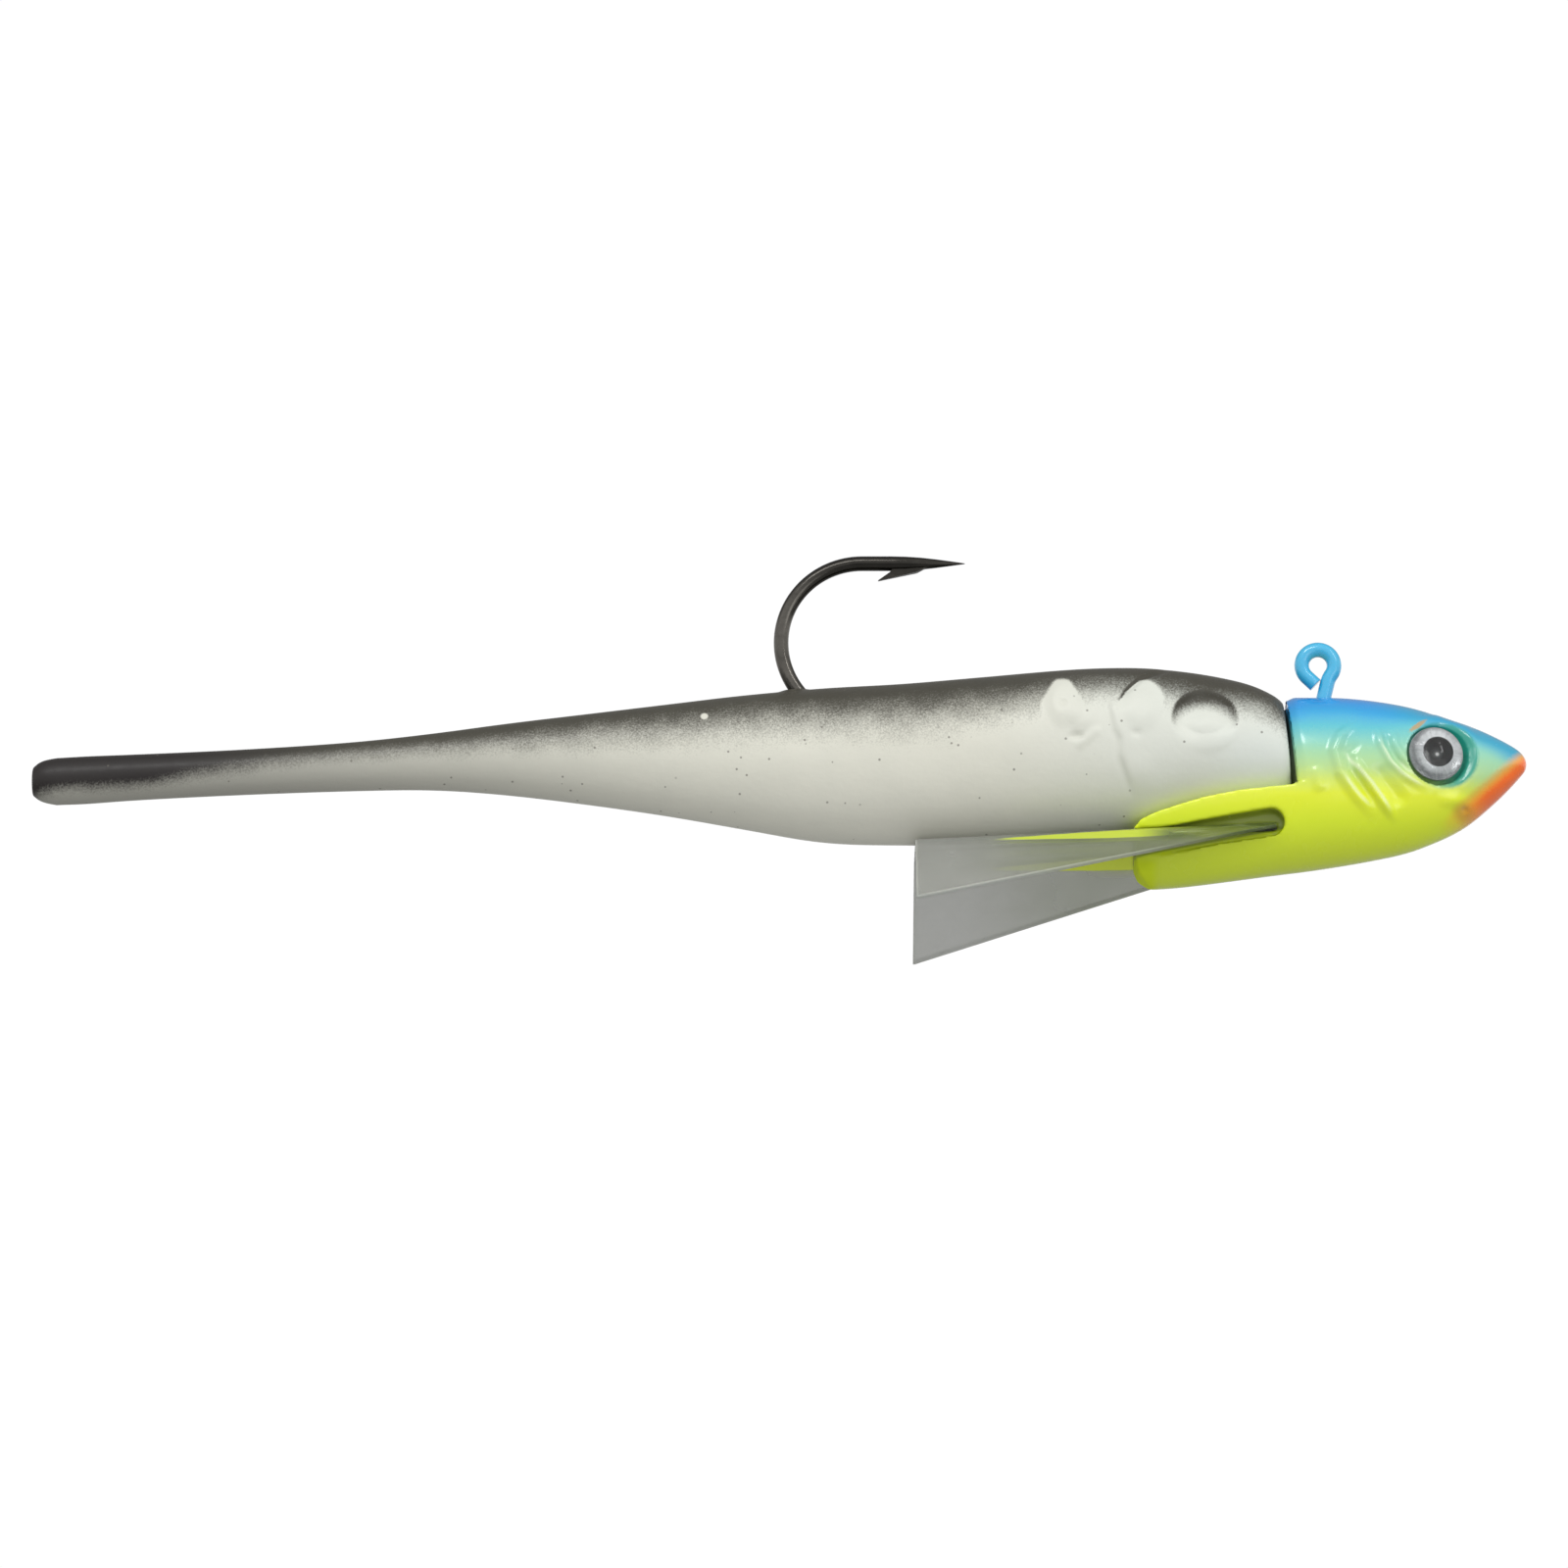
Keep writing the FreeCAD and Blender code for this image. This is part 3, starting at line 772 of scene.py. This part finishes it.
class Value:
    """A number socket that Python's operators turn into Math nodes."""

    def __init__(self, finish, socket):
        self.finish = finish
        self.socket = socket

    def math(self, operation, *others):
        return self.finish.number("Math", {"operation": operation}, [self, *others])

    def __add__(self, other):
        return self.math("ADD", other)

    __radd__ = __add__

    def __sub__(self, other):
        return self.math("SUBTRACT", other)

    def __rsub__(self, other):
        return self.finish.number("Math", {"operation": "SUBTRACT"}, [other, self])

    def __mul__(self, other):
        return self.math("MULTIPLY", other)

    __rmul__ = __mul__

    def __truediv__(self, other):
        return self.math("DIVIDE", other)

    def power(self, other):
        return self.math("POWER", other)

    def absolute(self):
        return self.math("ABSOLUTE")

    def larger(self, other):
        return self.math("MAXIMUM", other)

    def smaller(self, other):
        return self.math("MINIMUM", other)

    def between(self, low, high):
        """Smooth 0 to 1 as the value goes from low to high."""
        return self.finish.number("MapRange", {"interpolation_type": "SMOOTHSTEP"},
                                  {"Value": self, "From Min": low, "From Max": high})


class Finish:
    """One procedural material, with its Principled shader."""

    def __init__(self, name, **constants):
        self.material = bpy.data.materials.new(name)
        self.material.use_nodes = True
        self.tree = self.material.node_tree
        self.shader = self.tree.nodes["Principled BSDF"]
        for key, value in constants.items():
            self.shader.inputs[key.replace("_", " ")].default_value = value
        self.output = self.tree.nodes["Material Output"]

    def node(self, kind, settings=None, inputs=None):
        node = self.tree.nodes.new("ShaderNode" + kind)
        for key, value in (settings or {}).items():
            if key == "stops":
                self.set_stops(node.color_ramp, value)
            else:
                setattr(node, key, value)
        pairs = inputs.items() if isinstance(inputs, dict) else enumerate(inputs or [])
        for key, value in pairs:
            if isinstance(value, Value):
                value = value.socket
            if isinstance(value, bpy.types.NodeSocket):
                self.tree.links.new(value, node.inputs[key])
            else:
                node.inputs[key].default_value = value
        return node

    def set_stops(self, ramp, stops):
        while len(ramp.elements) < len(stops):
            ramp.elements.new(0.5)
        for element, (position, colour) in zip(ramp.elements, stops):
            element.position = position
            element.color = linear(colour)

    def number(self, kind, settings=None, inputs=None, output=0):
        return Value(self, self.node(kind, settings, inputs).outputs[output])

    def object_place(self):
        """Object coordinates in millimetres, and the same as x, y and z values."""
        coordinates = self.node("TexCoord").outputs["Object"]
        return self.in_millimetres(coordinates)

    def rest_place(self):
        """The kept rest place in millimetres, and the same as x, y and z values."""
        return self.in_millimetres(self.kept("rest_place", "Vector").socket)

    def kept(self, name, output="Fac"):
        return self.number("Attribute", {"attribute_name": name}, {}, output)

    def in_millimetres(self, vector):
        place = self.node("VectorMath", {"operation": "SCALE"}, {"Vector": vector, "Scale": 1000.0})
        place = place.outputs["Vector"]
        parts = self.node("SeparateXYZ", {}, {"Vector": place}).outputs
        return place, [Value(self, part) for part in parts]

    def noise(self, place, size, detail=2.0, roughness=0.5, squash=(1, 1, 1)):
        """Noise from 0 to 1 with features of about size millimetres."""
        if squash != (1, 1, 1):
            place = self.node("VectorMath", {"operation": "MULTIPLY"}, [place, squash]).outputs[0]
        return self.number("TexNoise", {}, {"Vector": place, "Scale": 1.0 / size, "Detail": detail,
                                                      "Roughness": roughness})

    def blend(self, share, first, second):
        """Mix two colours, each a socket or display values; share 0 gives the first."""
        node = self.node("Mix", {"data_type": "RGBA"}, {"Factor": share})
        for socket, colour in ((node.inputs[6], first), (node.inputs[7], second)):
            if isinstance(colour, bpy.types.NodeSocket):
                self.tree.links.new(colour, socket)
            else:
                socket.default_value = linear(colour)
        return node.outputs[2]

    def ramp(self, share, stops):
        return self.node("ValToRGB", {"stops": stops}, {"Fac": share}).outputs["Color"]

    def bump(self, height, distance, strength=1.0):
        """Feed the normal from a height of 0 to 1, for a real depth in millimetres."""
        node = self.node("Bump", {}, {"Height": height, "Distance": distance * MM,
                                                "Strength": strength})
        self.tree.links.new(node.outputs["Normal"], self.shader.inputs["Normal"])

    def feed(self, socket, value):
        self.tree.links.new(value.socket if isinstance(value, Value) else value, self.shader.inputs[socket])

    def dress(self, *pieces):
        for piece in pieces:
            piece.data.materials.clear()
            piece.data.materials.append(self.material)


def linear(colour):
    """Linear colour, with full alpha, from three display values of 0 to 255."""
    shares = [value / 255 for value in colour]
    return (*(round(v / 12.92 if v <= 0.04045 else ((v + 0.055) / 1.055) ** 2.4, 4) for v in shares), 1)


def distance(across, up):
    return (across.power(2) + up.power(2)).power(0.5)


# ---- finishes

# by distance behind the body's face: how deep below the back the spray is full, and where it ends
SPRAY = [(0, 1.4, 5.6), (5, 1.7, 5.6), (9, 2.0, 6.6), (13, 1.7, 5.8), (22, 1.5, 5.6), (28, 1.9, 6.8),
         (34, 2.2, 8.0), (44, 2.2, 8.1), (55, 1.9, 7.4), (66, 1.5, 6.6), (88, 1.3, 4.3), (99, 0.9, 3.1),
         (110, 0.9, 3.1), (115, 1.4, 3.6), (120, 1.9, 3.95), (126, 3.1, 4.6), (139, 3.2, 4.7)]
SPRAY_FULL = [(along, full) for along, full, end in SPRAY]
SPRAY_END = [(along, end) for along, full, end in SPRAY]


def soft_plastic():
    """Pearl white soft plastic with a dark airbrushed back and fine overspray."""
    finish = Finish("pearl_soft_plastic", Roughness=0.42, Coat_Weight=0.1, Coat_Roughness=0.3,
                    Specular_IOR_Level=0.28)
    place, (x, y, z) = finish.rest_place()
    spray = finish.kept("spray")
    speckle = finish.noise(place, 0.2, 3.0, 0.7)
    cloud = finish.noise(place, 3.0, 3.0)
    sprayed = (spray + (speckle - 0.5) * 1.2 + (cloud - 0.5) * 0.4).between(-0.13, 1.04)
    tail = x.between(-60, -125)
    pearl = finish.blend(finish.noise(place, 3.5, 3.0) * 0.6, (220, 219, 206), (209, 209, 197))
    pearl = finish.blend(tail * 0.85, pearl, (150, 149, 141))
    dark = finish.blend(speckle, (50, 49, 44), (80, 77, 66))
    dark = finish.blend(x.between(-105, -128), dark, (36, 32, 31))
    # painted reflection of the blue head: a cool tint towards the head, strongest low beside the face
    head_reflection_tint = x.between(-40, -14) * 0.4 + x.between(-15, -6) * z.between(-6, -12) * 0.35
    pearl = finish.blend(head_reflection_tint, pearl, (218, 226, 221))
    shade = finish.blend(sprayed, pearl, dark)
    specks = (finish.number("TexVoronoi", {}, {"Vector": place, "Scale": 0.6}).between(0.1, 0.065)
              * finish.noise(place, 7.0).between(0.45, 0.5))
    shade = finish.blend(specks * 0.65, shade, (92, 88, 80))
    # one bare spot in the spray of the right side
    bare = distance(x + 67.9, z + 6.7).between(0.5, 0.3) * y.between(-1, -2)
    finish.feed("Base Color", finish.blend(bare, shade, pearl))
    finish.feed("Roughness", finish.noise(place, 1.2, 3.0) * 0.16 + 0.36)
    finish.bump(finish.noise(place, 0.9, 4.0, 0.6) + finish.noise(place, 4.0) * 1.5, 0.06, 0.5)
    return finish


def spray_share(x, y, z):
    """How much of the back's spray reaches a point: 1 is full, 0 is none."""
    along = FACE_X - x
    full = smooth_profile(SPRAY_FULL, along)
    end = smooth_profile(SPRAY_END, along)
    depth = smooth_profile(BODY_BACK, along) - z
    share = 1 - (depth - full) / (end - full)
    return spray_near_head(x, z, share) if -33 < x < FACE_X else share


def spray_near_head(x, z, share):
    """The socket's upper part catches spray; what stands proud was wiped clean."""
    inside = 1 - ease(3.5, 3.8, hypot(x - SOCKET_X, z - SOCKET_Z))
    caught = (hypot(x - SOCKET_X, z + 10.35) - 3.9) / 1.5
    share += (min(caught, 1.05) - share) * inside
    crease, along, behind = path_distance(Vector((x, 0, z)), GILL_CREASE)
    fin_width = min(0.7 - (z + 2.6) * 0.5, 2.2)
    fin = (1 - ease(fin_width - 0.4, fin_width + 0.4, abs(x + 28.5))) * ease(-2.2, -3.1, z)
    flap = 1 - ease(0.8, 1.2, hypot((x + 19.9) / 2.4, (z + 5.1) / 2.5))
    flap *= not behind
    wiped = max(fin * ease(-8, -5.6, z), flap)
    share += (-0.5 - share) * wiped
    return share + 0.9 * hump(crease, 0.4) * ease(-6, -4.5, z)


HEAD_FADE = [(0.0, (208, 228, 40)), (0.30, (222, 242, 34)), (0.44, (232, 243, 46)),
             (0.51, (213, 232, 94)), (0.577, (184, 220, 142)), (0.66, (158, 213, 168)),
             (0.72, (132, 206, 188)), (0.795, (86, 190, 204)), (0.86, (50, 166, 218)),
             (0.93, (40, 148, 222)), (1.0, (40, 136, 214))]
# the snout's tip, and the mouth line's direction
SNOUT_X = 22.9
SNOUT_Z = -9.9
MOUTH_RUN = 0.734
MOUTH_RISE = 0.679
# painted highlights along the crests of the gill ridges: width, strength, and (x, z) path
GILL_CREST_HIGHLIGHTS = [
    (0.30, 1.0, [(2.3, -10.7), (3.0, -11.9), (4.1, -13.15), (5.5, -14.5), (6.7, -16.15), (7.8, -18.0)]),
    (0.28, 0.8, [(2.3, -13.45), (3.0, -14.6), (3.8, -15.6), (5.5, -17.3)]),
    (0.30, 0.7, [(6.4, -8.8), (6.7, -10.35), (7.5, -11.9), (8.7, -13.4), (10.2, -14.3), (11.4, -14.9)]),
    (0.26, 0.6, [(8.4, -11.85), (9.3, -13.0), (11.5, -14.0)]),
]


def crest_highlight_share(x, y, z):
    """How near a point is to a painted highlight along the crests of the gill ridges: 1 is on it."""
    share = 0.0
    if 1.5 < x < 12.5 and abs(y) > 2:
        for width, strength, path in GILL_CREST_HIGHLIGHTS:
            gap, along, leftward = path_distance(Vector((x, 0, z)), path)
            ends = ease(0, 0.3, along) * ease(1, 0.8, along)
            share = max(share, hump(gap, width) * ends * strength)
    return share


def head_paint():
    """Glossy airbrushed fade from blue through aqua to chartreuse, with an orange snout."""
    finish = Finish("fade_head_paint", Coat_Roughness=0.14, Coat_IOR=1.5, Specular_IOR_Level=0.3)
    place, (x, y, z) = finish.object_place()
    mist = finish.noise(place, 0.22, 2.0, 0.7) - 0.5
    drift = finish.noise(place, 6.0, 1.0) - 0.5
    height = (z + mist * 0.7 + drift * 1.6 + (x - 14).larger(0) * 0.2 + 25.5) / 22
    paint = finish.ramp(height, HEAD_FADE)
    # the blue follows the forehead down to the snout's tip
    forehead = (x - 2).larger(0).power(2) * -0.0155 - 3.63 - z + mist * 0.6
    brow = forehead.between(3.4, 0.9) * x.between(5, 11)
    paint = finish.blend(brow * 0.85, paint, (44, 160, 200))
    # painted shade in the eye recess: teal, heavier towards the snout
    ring = distance((x - 13.35) / 1.03, z + 11.1) + mist * 0.3
    recess = ring.between(4.15, 3.6) * (x * 0.16 - 1.45).larger(0.15).smaller(0.95)
    paint = finish.blend(recess, paint, (28, 154, 134))
    # orange snout: below the mouth line, fading out along the chin
    ahead = x - SNOUT_X
    above = z - SNOUT_Z
    below = ahead * MOUTH_RISE - above * MOUTH_RUN + mist * 0.5
    along = ahead * -MOUTH_RUN - above * MOUTH_RISE + mist * 1.2
    glow = below.between(-0.8, 0.4) * along.between(14.0, 8.8)
    core = below.between(0.0, 0.9) * along.between(11.6, 6.8)
    paint = finish.blend(glow * 0.9, paint, (255, 176, 44))
    paint = finish.blend(core * 0.95, paint, (255, 108, 24))
    # painted shade in the gap at the joint with the soft body: dark, matt and without coat
    face = x - (z * -HEAD_FACE_LEAN + (HEAD_REAR_X - 2.1 + 10 * HEAD_FACE_LEAN))
    bare = face.between(0.3, 0.12) * z.between(-14.75, -14.45)
    paint = finish.blend(bare * 0.95, paint, (52, 58, 50))
    # painted shade inside the film's slots, where the paint also has less coat
    under_roof = (z - x * 0.17 + 16.32).between(0.15, -0.1)
    over_floor = (z - x * 0.19 + 18.45).between(-0.2, 0.1)
    slot = under_roof * over_floor * y.absolute().between(5.8, 4.9) * x.between(-3.4, -4.2)
    paint = finish.blend(slot * 0.85, paint, (138, 154, 66))
    # painted highlights: paler lines along the crests of the gill ridges
    crest = finish.kept("crest")
    paint = finish.blend(crest * 0.7, paint, (240, 250, 216))
    # brown dust in the mouth's corner, and a nick of undercoat over one eye
    corner = distance((x - 15.7) / 1.5, (z + 17.2) / 1.2).between(1.2, 0.2)
    paint = finish.blend(corner * 0.45, paint, (176, 128, 44))
    slant = (z + 7.75) - (x - 10.7) * 0.75
    nick = (distance((x - 10.7) / 0.95, slant / 0.34) + mist).between(1.25, 0.7)
    paint = finish.blend(nick * y.between(-1, -2) * 0.75, paint, (196, 146, 66))
    finish.feed("Base Color", paint)
    heel = x.between(-17.6, -18.8) * z.between(-22.0, -23.2)
    finish.feed("Coat Weight", (1 - bare) * (1 - slot * 0.6) * (1 - heel) * x.between(-20.4, -18.5) * 0.8)
    finish.feed("Roughness", finish.noise(place, 2.5, 2.0) * 0.12 + 0.2 + bare * 0.3 + heel * 0.65)
    finish.bump(finish.noise(place, 1.6, 2.0) + finish.noise(place, 0.3, 2.0) * 0.06, 0.05, 0.35)
    return finish


def hook_metal():
    """Black nickel wire, with the head's blue paint over the eye and stem."""
    finish = Finish("black_nickel_wire", Coat_Roughness=0.06, Specular_IOR_Level=0.5)
    place, (x, y, z) = finish.object_place()
    grain = finish.noise(place, 0.12, 3.0, 0.6, squash=(0.12, 1, 0.35))
    wear = finish.noise(place, 1.8, 3.0)
    painted = (x + (wear - 0.5) * 0.3).between(-3.0, -2.7) * z.between(-12, -5)
    nickel = finish.blend(wear * 0.6 + grain * 0.4, (54, 52, 49), (116, 113, 107))
    # painted shade: the upper half of the bend and the pointed leg are darker
    nickel = finish.blend(z.between(5, 11.5) * 0.72, nickel, (34, 33, 31))
    inner = distance(x, z).between(1.5, 0.95) * z.between(0.2, 1.0)
    blue = finish.blend(inner * 0.7 + (wear - 0.5) * 0.3, (52, 178, 222), (108, 208, 196))
    finish.feed("Base Color", finish.blend(painted, nickel, blue))
    finish.feed("Metallic", 1 - painted)
    finish.feed("Roughness", (grain * 0.12 + wear * 0.08 + 0.07) * (1 - painted) + painted * 0.3)
    finish.feed("Coat Weight", painted * 0.9)
    finish.bump(grain * (1 - painted) + wear * painted, 0.02, 0.3)
    return finish


def clear_film():
    """Smoky clear film with painted highlights on its cut edges, streaks of head paint where it leaves the
    slot, and painted light, shade and reflection of the head.
    """
    finish = Finish("clear_wing_film", Coat_Weight=0.6, Coat_Roughness=0.08, Specular_IOR_Level=0.5)
    place, (x, y, z) = finish.object_place()
    out = (y.absolute() - WING_ROOT.y) / cos(radians(WING_DROOP))
    span = (x * -1 + WING_ROOT.x) * ((REAR_SPAN - FRONT_SPAN) / (WING_ROOT.x - WING_REAR_X)) + FRONT_SPAN
    inset = span - out
    # painted highlight along the wings' cut edges
    edge = inset.between(0.3, 0.1).larger((x - WING_REAR_X).between(0.25, 0.08)) * x.between(-13, -22)
    haze = finish.noise(place, 3.0, 3.0)
    streak = finish.noise(place, 0.5, 3.0, 0.6, squash=(0.1, 1, 1))
    # a run of head paint along each wing's root, tapering towards the rear
    width = x.between(-37, -20) * 0.85 + 0.28 + (streak - 0.5) * 0.3
    run = ((out - 1.45).absolute() - width).between(0.16, -0.16)
    run = run * (x + (streak - 0.5) * 5).between(-37, -33)
    # painted shade: the film inside the slot's mouth is dark olive
    mouth = x.between(-21.0, -16.0) * out.between(4.4, 2.6)
    wash = x.between(-27, -20) * out.between(4.2, 1.6) * out.between(-1.5, 0) * 0.45
    paint = run.larger(wash) * x.between(-13, -19)
    film = finish.blend(haze, (140, 142, 136), (160, 162, 156))
    # painted light: the left wing is paler, as if lit from below
    film = finish.blend(y.between(5, 7) * 0.5, film, (196, 197, 190))
    # painted reflection of the chartreuse keel: olive over the front of each wing near its root
    film = finish.blend(x.between(-42, -25) * out.between(16, 7) * 0.75, film, (112, 122, 80))
    film = finish.blend(edge * 0.36, film, (206, 209, 202))
    # the run is painted lighter on the left wing, as if lit from below
    run_colour = finish.blend(y.between(5, 7), (204, 222, 34), (236, 252, 44))
    film = finish.blend(paint * 0.95, film, run_colour)
    # painted highlights: pale glossy streaks over that shaded film
    painted_gleam = streak.between(0.54, 0.62)
    slot_shade_olive = finish.blend(painted_gleam * 0.5, (88, 104, 54), (176, 190, 132))
    finish.feed("Base Color", finish.blend(mouth, film, slot_shade_olive))
    finish.feed("Alpha", (edge * 0.16 + paint * 0.42 + haze * 0.08 + 0.58).smaller(0.99))
    finish.feed("Roughness", haze * 0.1 + 0.12)
    finish.bump(finish.noise(place, 6.0, 2.0) + streak * 0.12, 0.12, 0.4)
    return finish


def eye_foil_print(word):
    """Silver foil with radial brushing, a dark rim line, painted light that brightens its top, and a glossy
    printed pupil with a painted highlight.
    """
    low, high = node_box("eye_foil_" + word)
    middle = (low + high) / 2 + EYE_SHIFT
    finish = Finish("eye_foil_" + word, Specular_IOR_Level=0.2)
    place, (x, y, z) = finish.object_place()
    dx = (x - middle.x) / cos(radians(EYE_YAW))
    dz = z - middle.z
    radius = distance(dx, dz)
    turn = dz.math("ARCTAN2", dx)
    rays = finish.number("TexNoise", {"noise_dimensions": "2D"}, {
        "Vector": finish.node("CombineXYZ", {}, [turn * 9, radius * 0.6]).outputs[0],
        "Scale": 1.0, "Detail": 3.0, "Roughness": 0.7})
    mottle = finish.noise(place, 0.35, 3.0, 0.6)
    # painted light: the foil is lighter towards the top and the snout, over its real brushing and mottle
    brushing_and_painted_light = rays * 0.55 + mottle * 0.4 + dz * 0.1 + dx * 0.06 - 0.05
    silver = finish.blend(brushing_and_painted_light, (128, 132, 132), (232, 234, 236))
    rim = radius.between(2.8, 3.0)
    silver = finish.blend(rim * 0.4, silver, (110, 118, 120))
    pupil = distance(dx - 0.22, dz - 0.22).between(1.7, 1.6)
    # painted highlight: a soft pale spot in the black pupil
    pupil_highlight = distance(dx - 0.08, dz + 0.1)
    pupil_print_and_highlight = finish.blend(pupil_highlight.between(0.75, 0.1) * 0.7, (5, 5, 5), (100, 102, 102))
    pupil_print_and_highlight = finish.blend(pupil_highlight.between(0.26, 0.1) * 0.8, pupil_print_and_highlight, (214, 214, 212))
    finish.feed("Base Color", finish.blend(pupil, silver, pupil_print_and_highlight))
    finish.feed("Metallic", (1 - pupil) * 0.6)
    finish.feed("Roughness", (1 - pupil) * (mottle * 0.2 + 0.22) + pupil * 0.16)
    finish.bump(rays * (1 - pupil), 0.03, 0.4)
    return finish


def lens_resin():
    """Clear doming resin."""
    finish = Finish("clear_eye_resin", Roughness=0.07, IOR=1.3, Transmission_Weight=1.0,
                    Specular_IOR_Level=0.2)
    place, (x, y, z) = finish.object_place()
    tint = finish.blend(finish.noise(place, 1.5), (248, 250, 250), (255, 255, 255))
    finish.feed("Base Color", tint)
    finish.bump(finish.noise(place, 2.5, 1.0), 0.004, 0.2)
    return finish


# ---- the bait

def on_jig(piece, finish, node):
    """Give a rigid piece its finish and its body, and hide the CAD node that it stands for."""
    finish.dress(piece)
    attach(piece, "jig")
    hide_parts(node)


def build_head():
    head = finished(sculpted_head(), 50)
    remember(head, "crest", crest_highlight_share)
    on_jig(head, head_paint(), "head_casting")


def build_hook():
    on_jig(finished(modelled_hook(), 35), hook_metal(), "jig_hook")


def build_body():
    """One closed length of body over each flex joint; neighbours meet halfway between joints."""
    finish = soft_plastic()
    bodies = ["jig", "tail_1", "tail_2", "tail_3", "tail_4"]
    nodes = ["body_front", "tail_segment_1", "tail_segment_2", "tail_segment_3", "tail_segment_4"]
    names = ["soft_body_front", "soft_tail_root", "soft_tail_middle", "soft_tail_tip"]
    rest = sculpted_body()
    lengths = []
    for index, name in enumerate(names[1:]):
        middle = (FLEX_X[index] + FLEX_X[index + 1]) / 2
        front, rest = split_at(rest, middle, name)
        lengths.append(front)
    lengths.append(rest)
    for index, piece in enumerate(lengths):
        piece = finished(piece, 60)
        piece.name = names[index]
        remember_place(piece)
        remember(piece, "spray", spray_share)
        finish.dress(piece)
        bodies[index + 1]
        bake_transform(piece)
        if index == 0:
            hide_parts(nodes[0], nodes[1])
        else:
            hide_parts(nodes[index + 1])


def build_film():
    finish = clear_film()
    for side, word in ((1, "left"), (-1, "right")):
        piece = finished(film_half(side, word), 50)
        finish.dress(piece)
        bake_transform(piece)
        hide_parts("wing_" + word)
        if side > 0:
            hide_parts("wing_web")


def build_eyes():
    lens = lens_resin()
    for side, word in ((1, "left"), (-1, "right")):
        foil = finished(modelled_foil(side, word), 35)
        on_jig(foil, eye_foil_print(word), "eye_foil_" + word)
        dome = finished(modelled_dome(side, word), 50)
        on_jig(dome, lens, "eye_dome_" + word)


# ---- stage, lights and camera

FLOOR_Z = -0.42
FLOOR_SIZE = 7.0
CAMERA_ELEVATION = -12.0
CAMERA_DISTANCE = 1.16
FRAME_WIDTH = 0.17323
AIM = (-0.05912, 0.0, -0.01339)
SENSOR = 36.0


class Sky(Finish):
    """The studio's light from all round: white behind, dimmer overhead and below."""

    def __init__(self, name):
        world = bpy.data.worlds.new(name)
        bpy.context.scene.world = world
        world.use_nodes = True
        self.tree = world.node_tree
        self.shader = self.tree.nodes["Background"]


def build_sky():
    sky = Sky("studio")
    toward = sky.node("TexCoord").outputs["Generated"]
    x, y, z = [Value(sky, part) for part in sky.node("SeparateXYZ", {}, [toward]).outputs]
    below = z.between(-0.02, -0.2) * 0.62
    overhead = z.between(0.30, 0.55) * y.between(-0.3, 0.15) * 0.65
    sky.feed("Strength", (1 - below) * (1 - overhead) * 1.02)
    sky.shader.inputs["Color"].default_value = (1, 1, 1, 1)


def build_stage():
    pick_none()
    bpy.ops.mesh.primitive_plane_add(size=FLOOR_SIZE, location=(0, 0, FLOOR_Z))
    floor = named("floor")
    finish = Finish("pale_floor", Roughness=0.8)
    place, (x, y, z) = finish.object_place()
    finish.feed("Base Color", finish.blend(finish.noise(place, 900.0), (182, 183, 183),
                                           (190, 190, 189)))
    finish.dress(floor)


def softbox(name, place, target, size, watts):
    lamp = bpy.data.lights.new(name, "AREA")
    lamp.shape = "RECTANGLE"
    lamp.size, lamp.size_y = size
    lamp.energy = watts
    box = bpy.data.objects.new(name, lamp)
    bpy.context.collection.objects.link(box)
    box.location = place
    box.rotation_euler = (Vector(target) - Vector(place)).to_track_quat("-Z", "Y").to_euler()


def build_lights():
    softbox("key", (-0.25, -0.75, 0.75), AIM, (0.5, 0.16), 2.4)
    softbox("strip", (0.45, -0.6, 0.45), AIM, (0.08, 0.35), 0.6)
    softbox("fill", (0.45, -0.85, -0.12), AIM, (0.6, 0.4), 1.0)


def build_camera():
    camera = bpy.data.cameras.new("camera")
    camera.sensor_width = SENSOR
    camera.lens = SENSOR * CAMERA_DISTANCE / FRAME_WIDTH
    camera.clip_start = 0.01
    camera.clip_end = 50
    holder = bpy.data.objects.new("camera", camera)
    bpy.context.collection.objects.link(holder)
    rise = radians(CAMERA_ELEVATION)
    away = Vector((0, -cos(rise), sin(rise)))
    holder.location = Vector(AIM) + away * CAMERA_DISTANCE
    holder.rotation_euler = (-away).to_track_quat("-Z", "Y").to_euler()
    bpy.context.scene.camera = holder
    bpy.context.scene.view_settings.view_transform = "Standard"


build_head()
build_hook()
build_body()
build_film()
build_eyes()
build_sky()
build_stage()
build_lights()
build_camera()
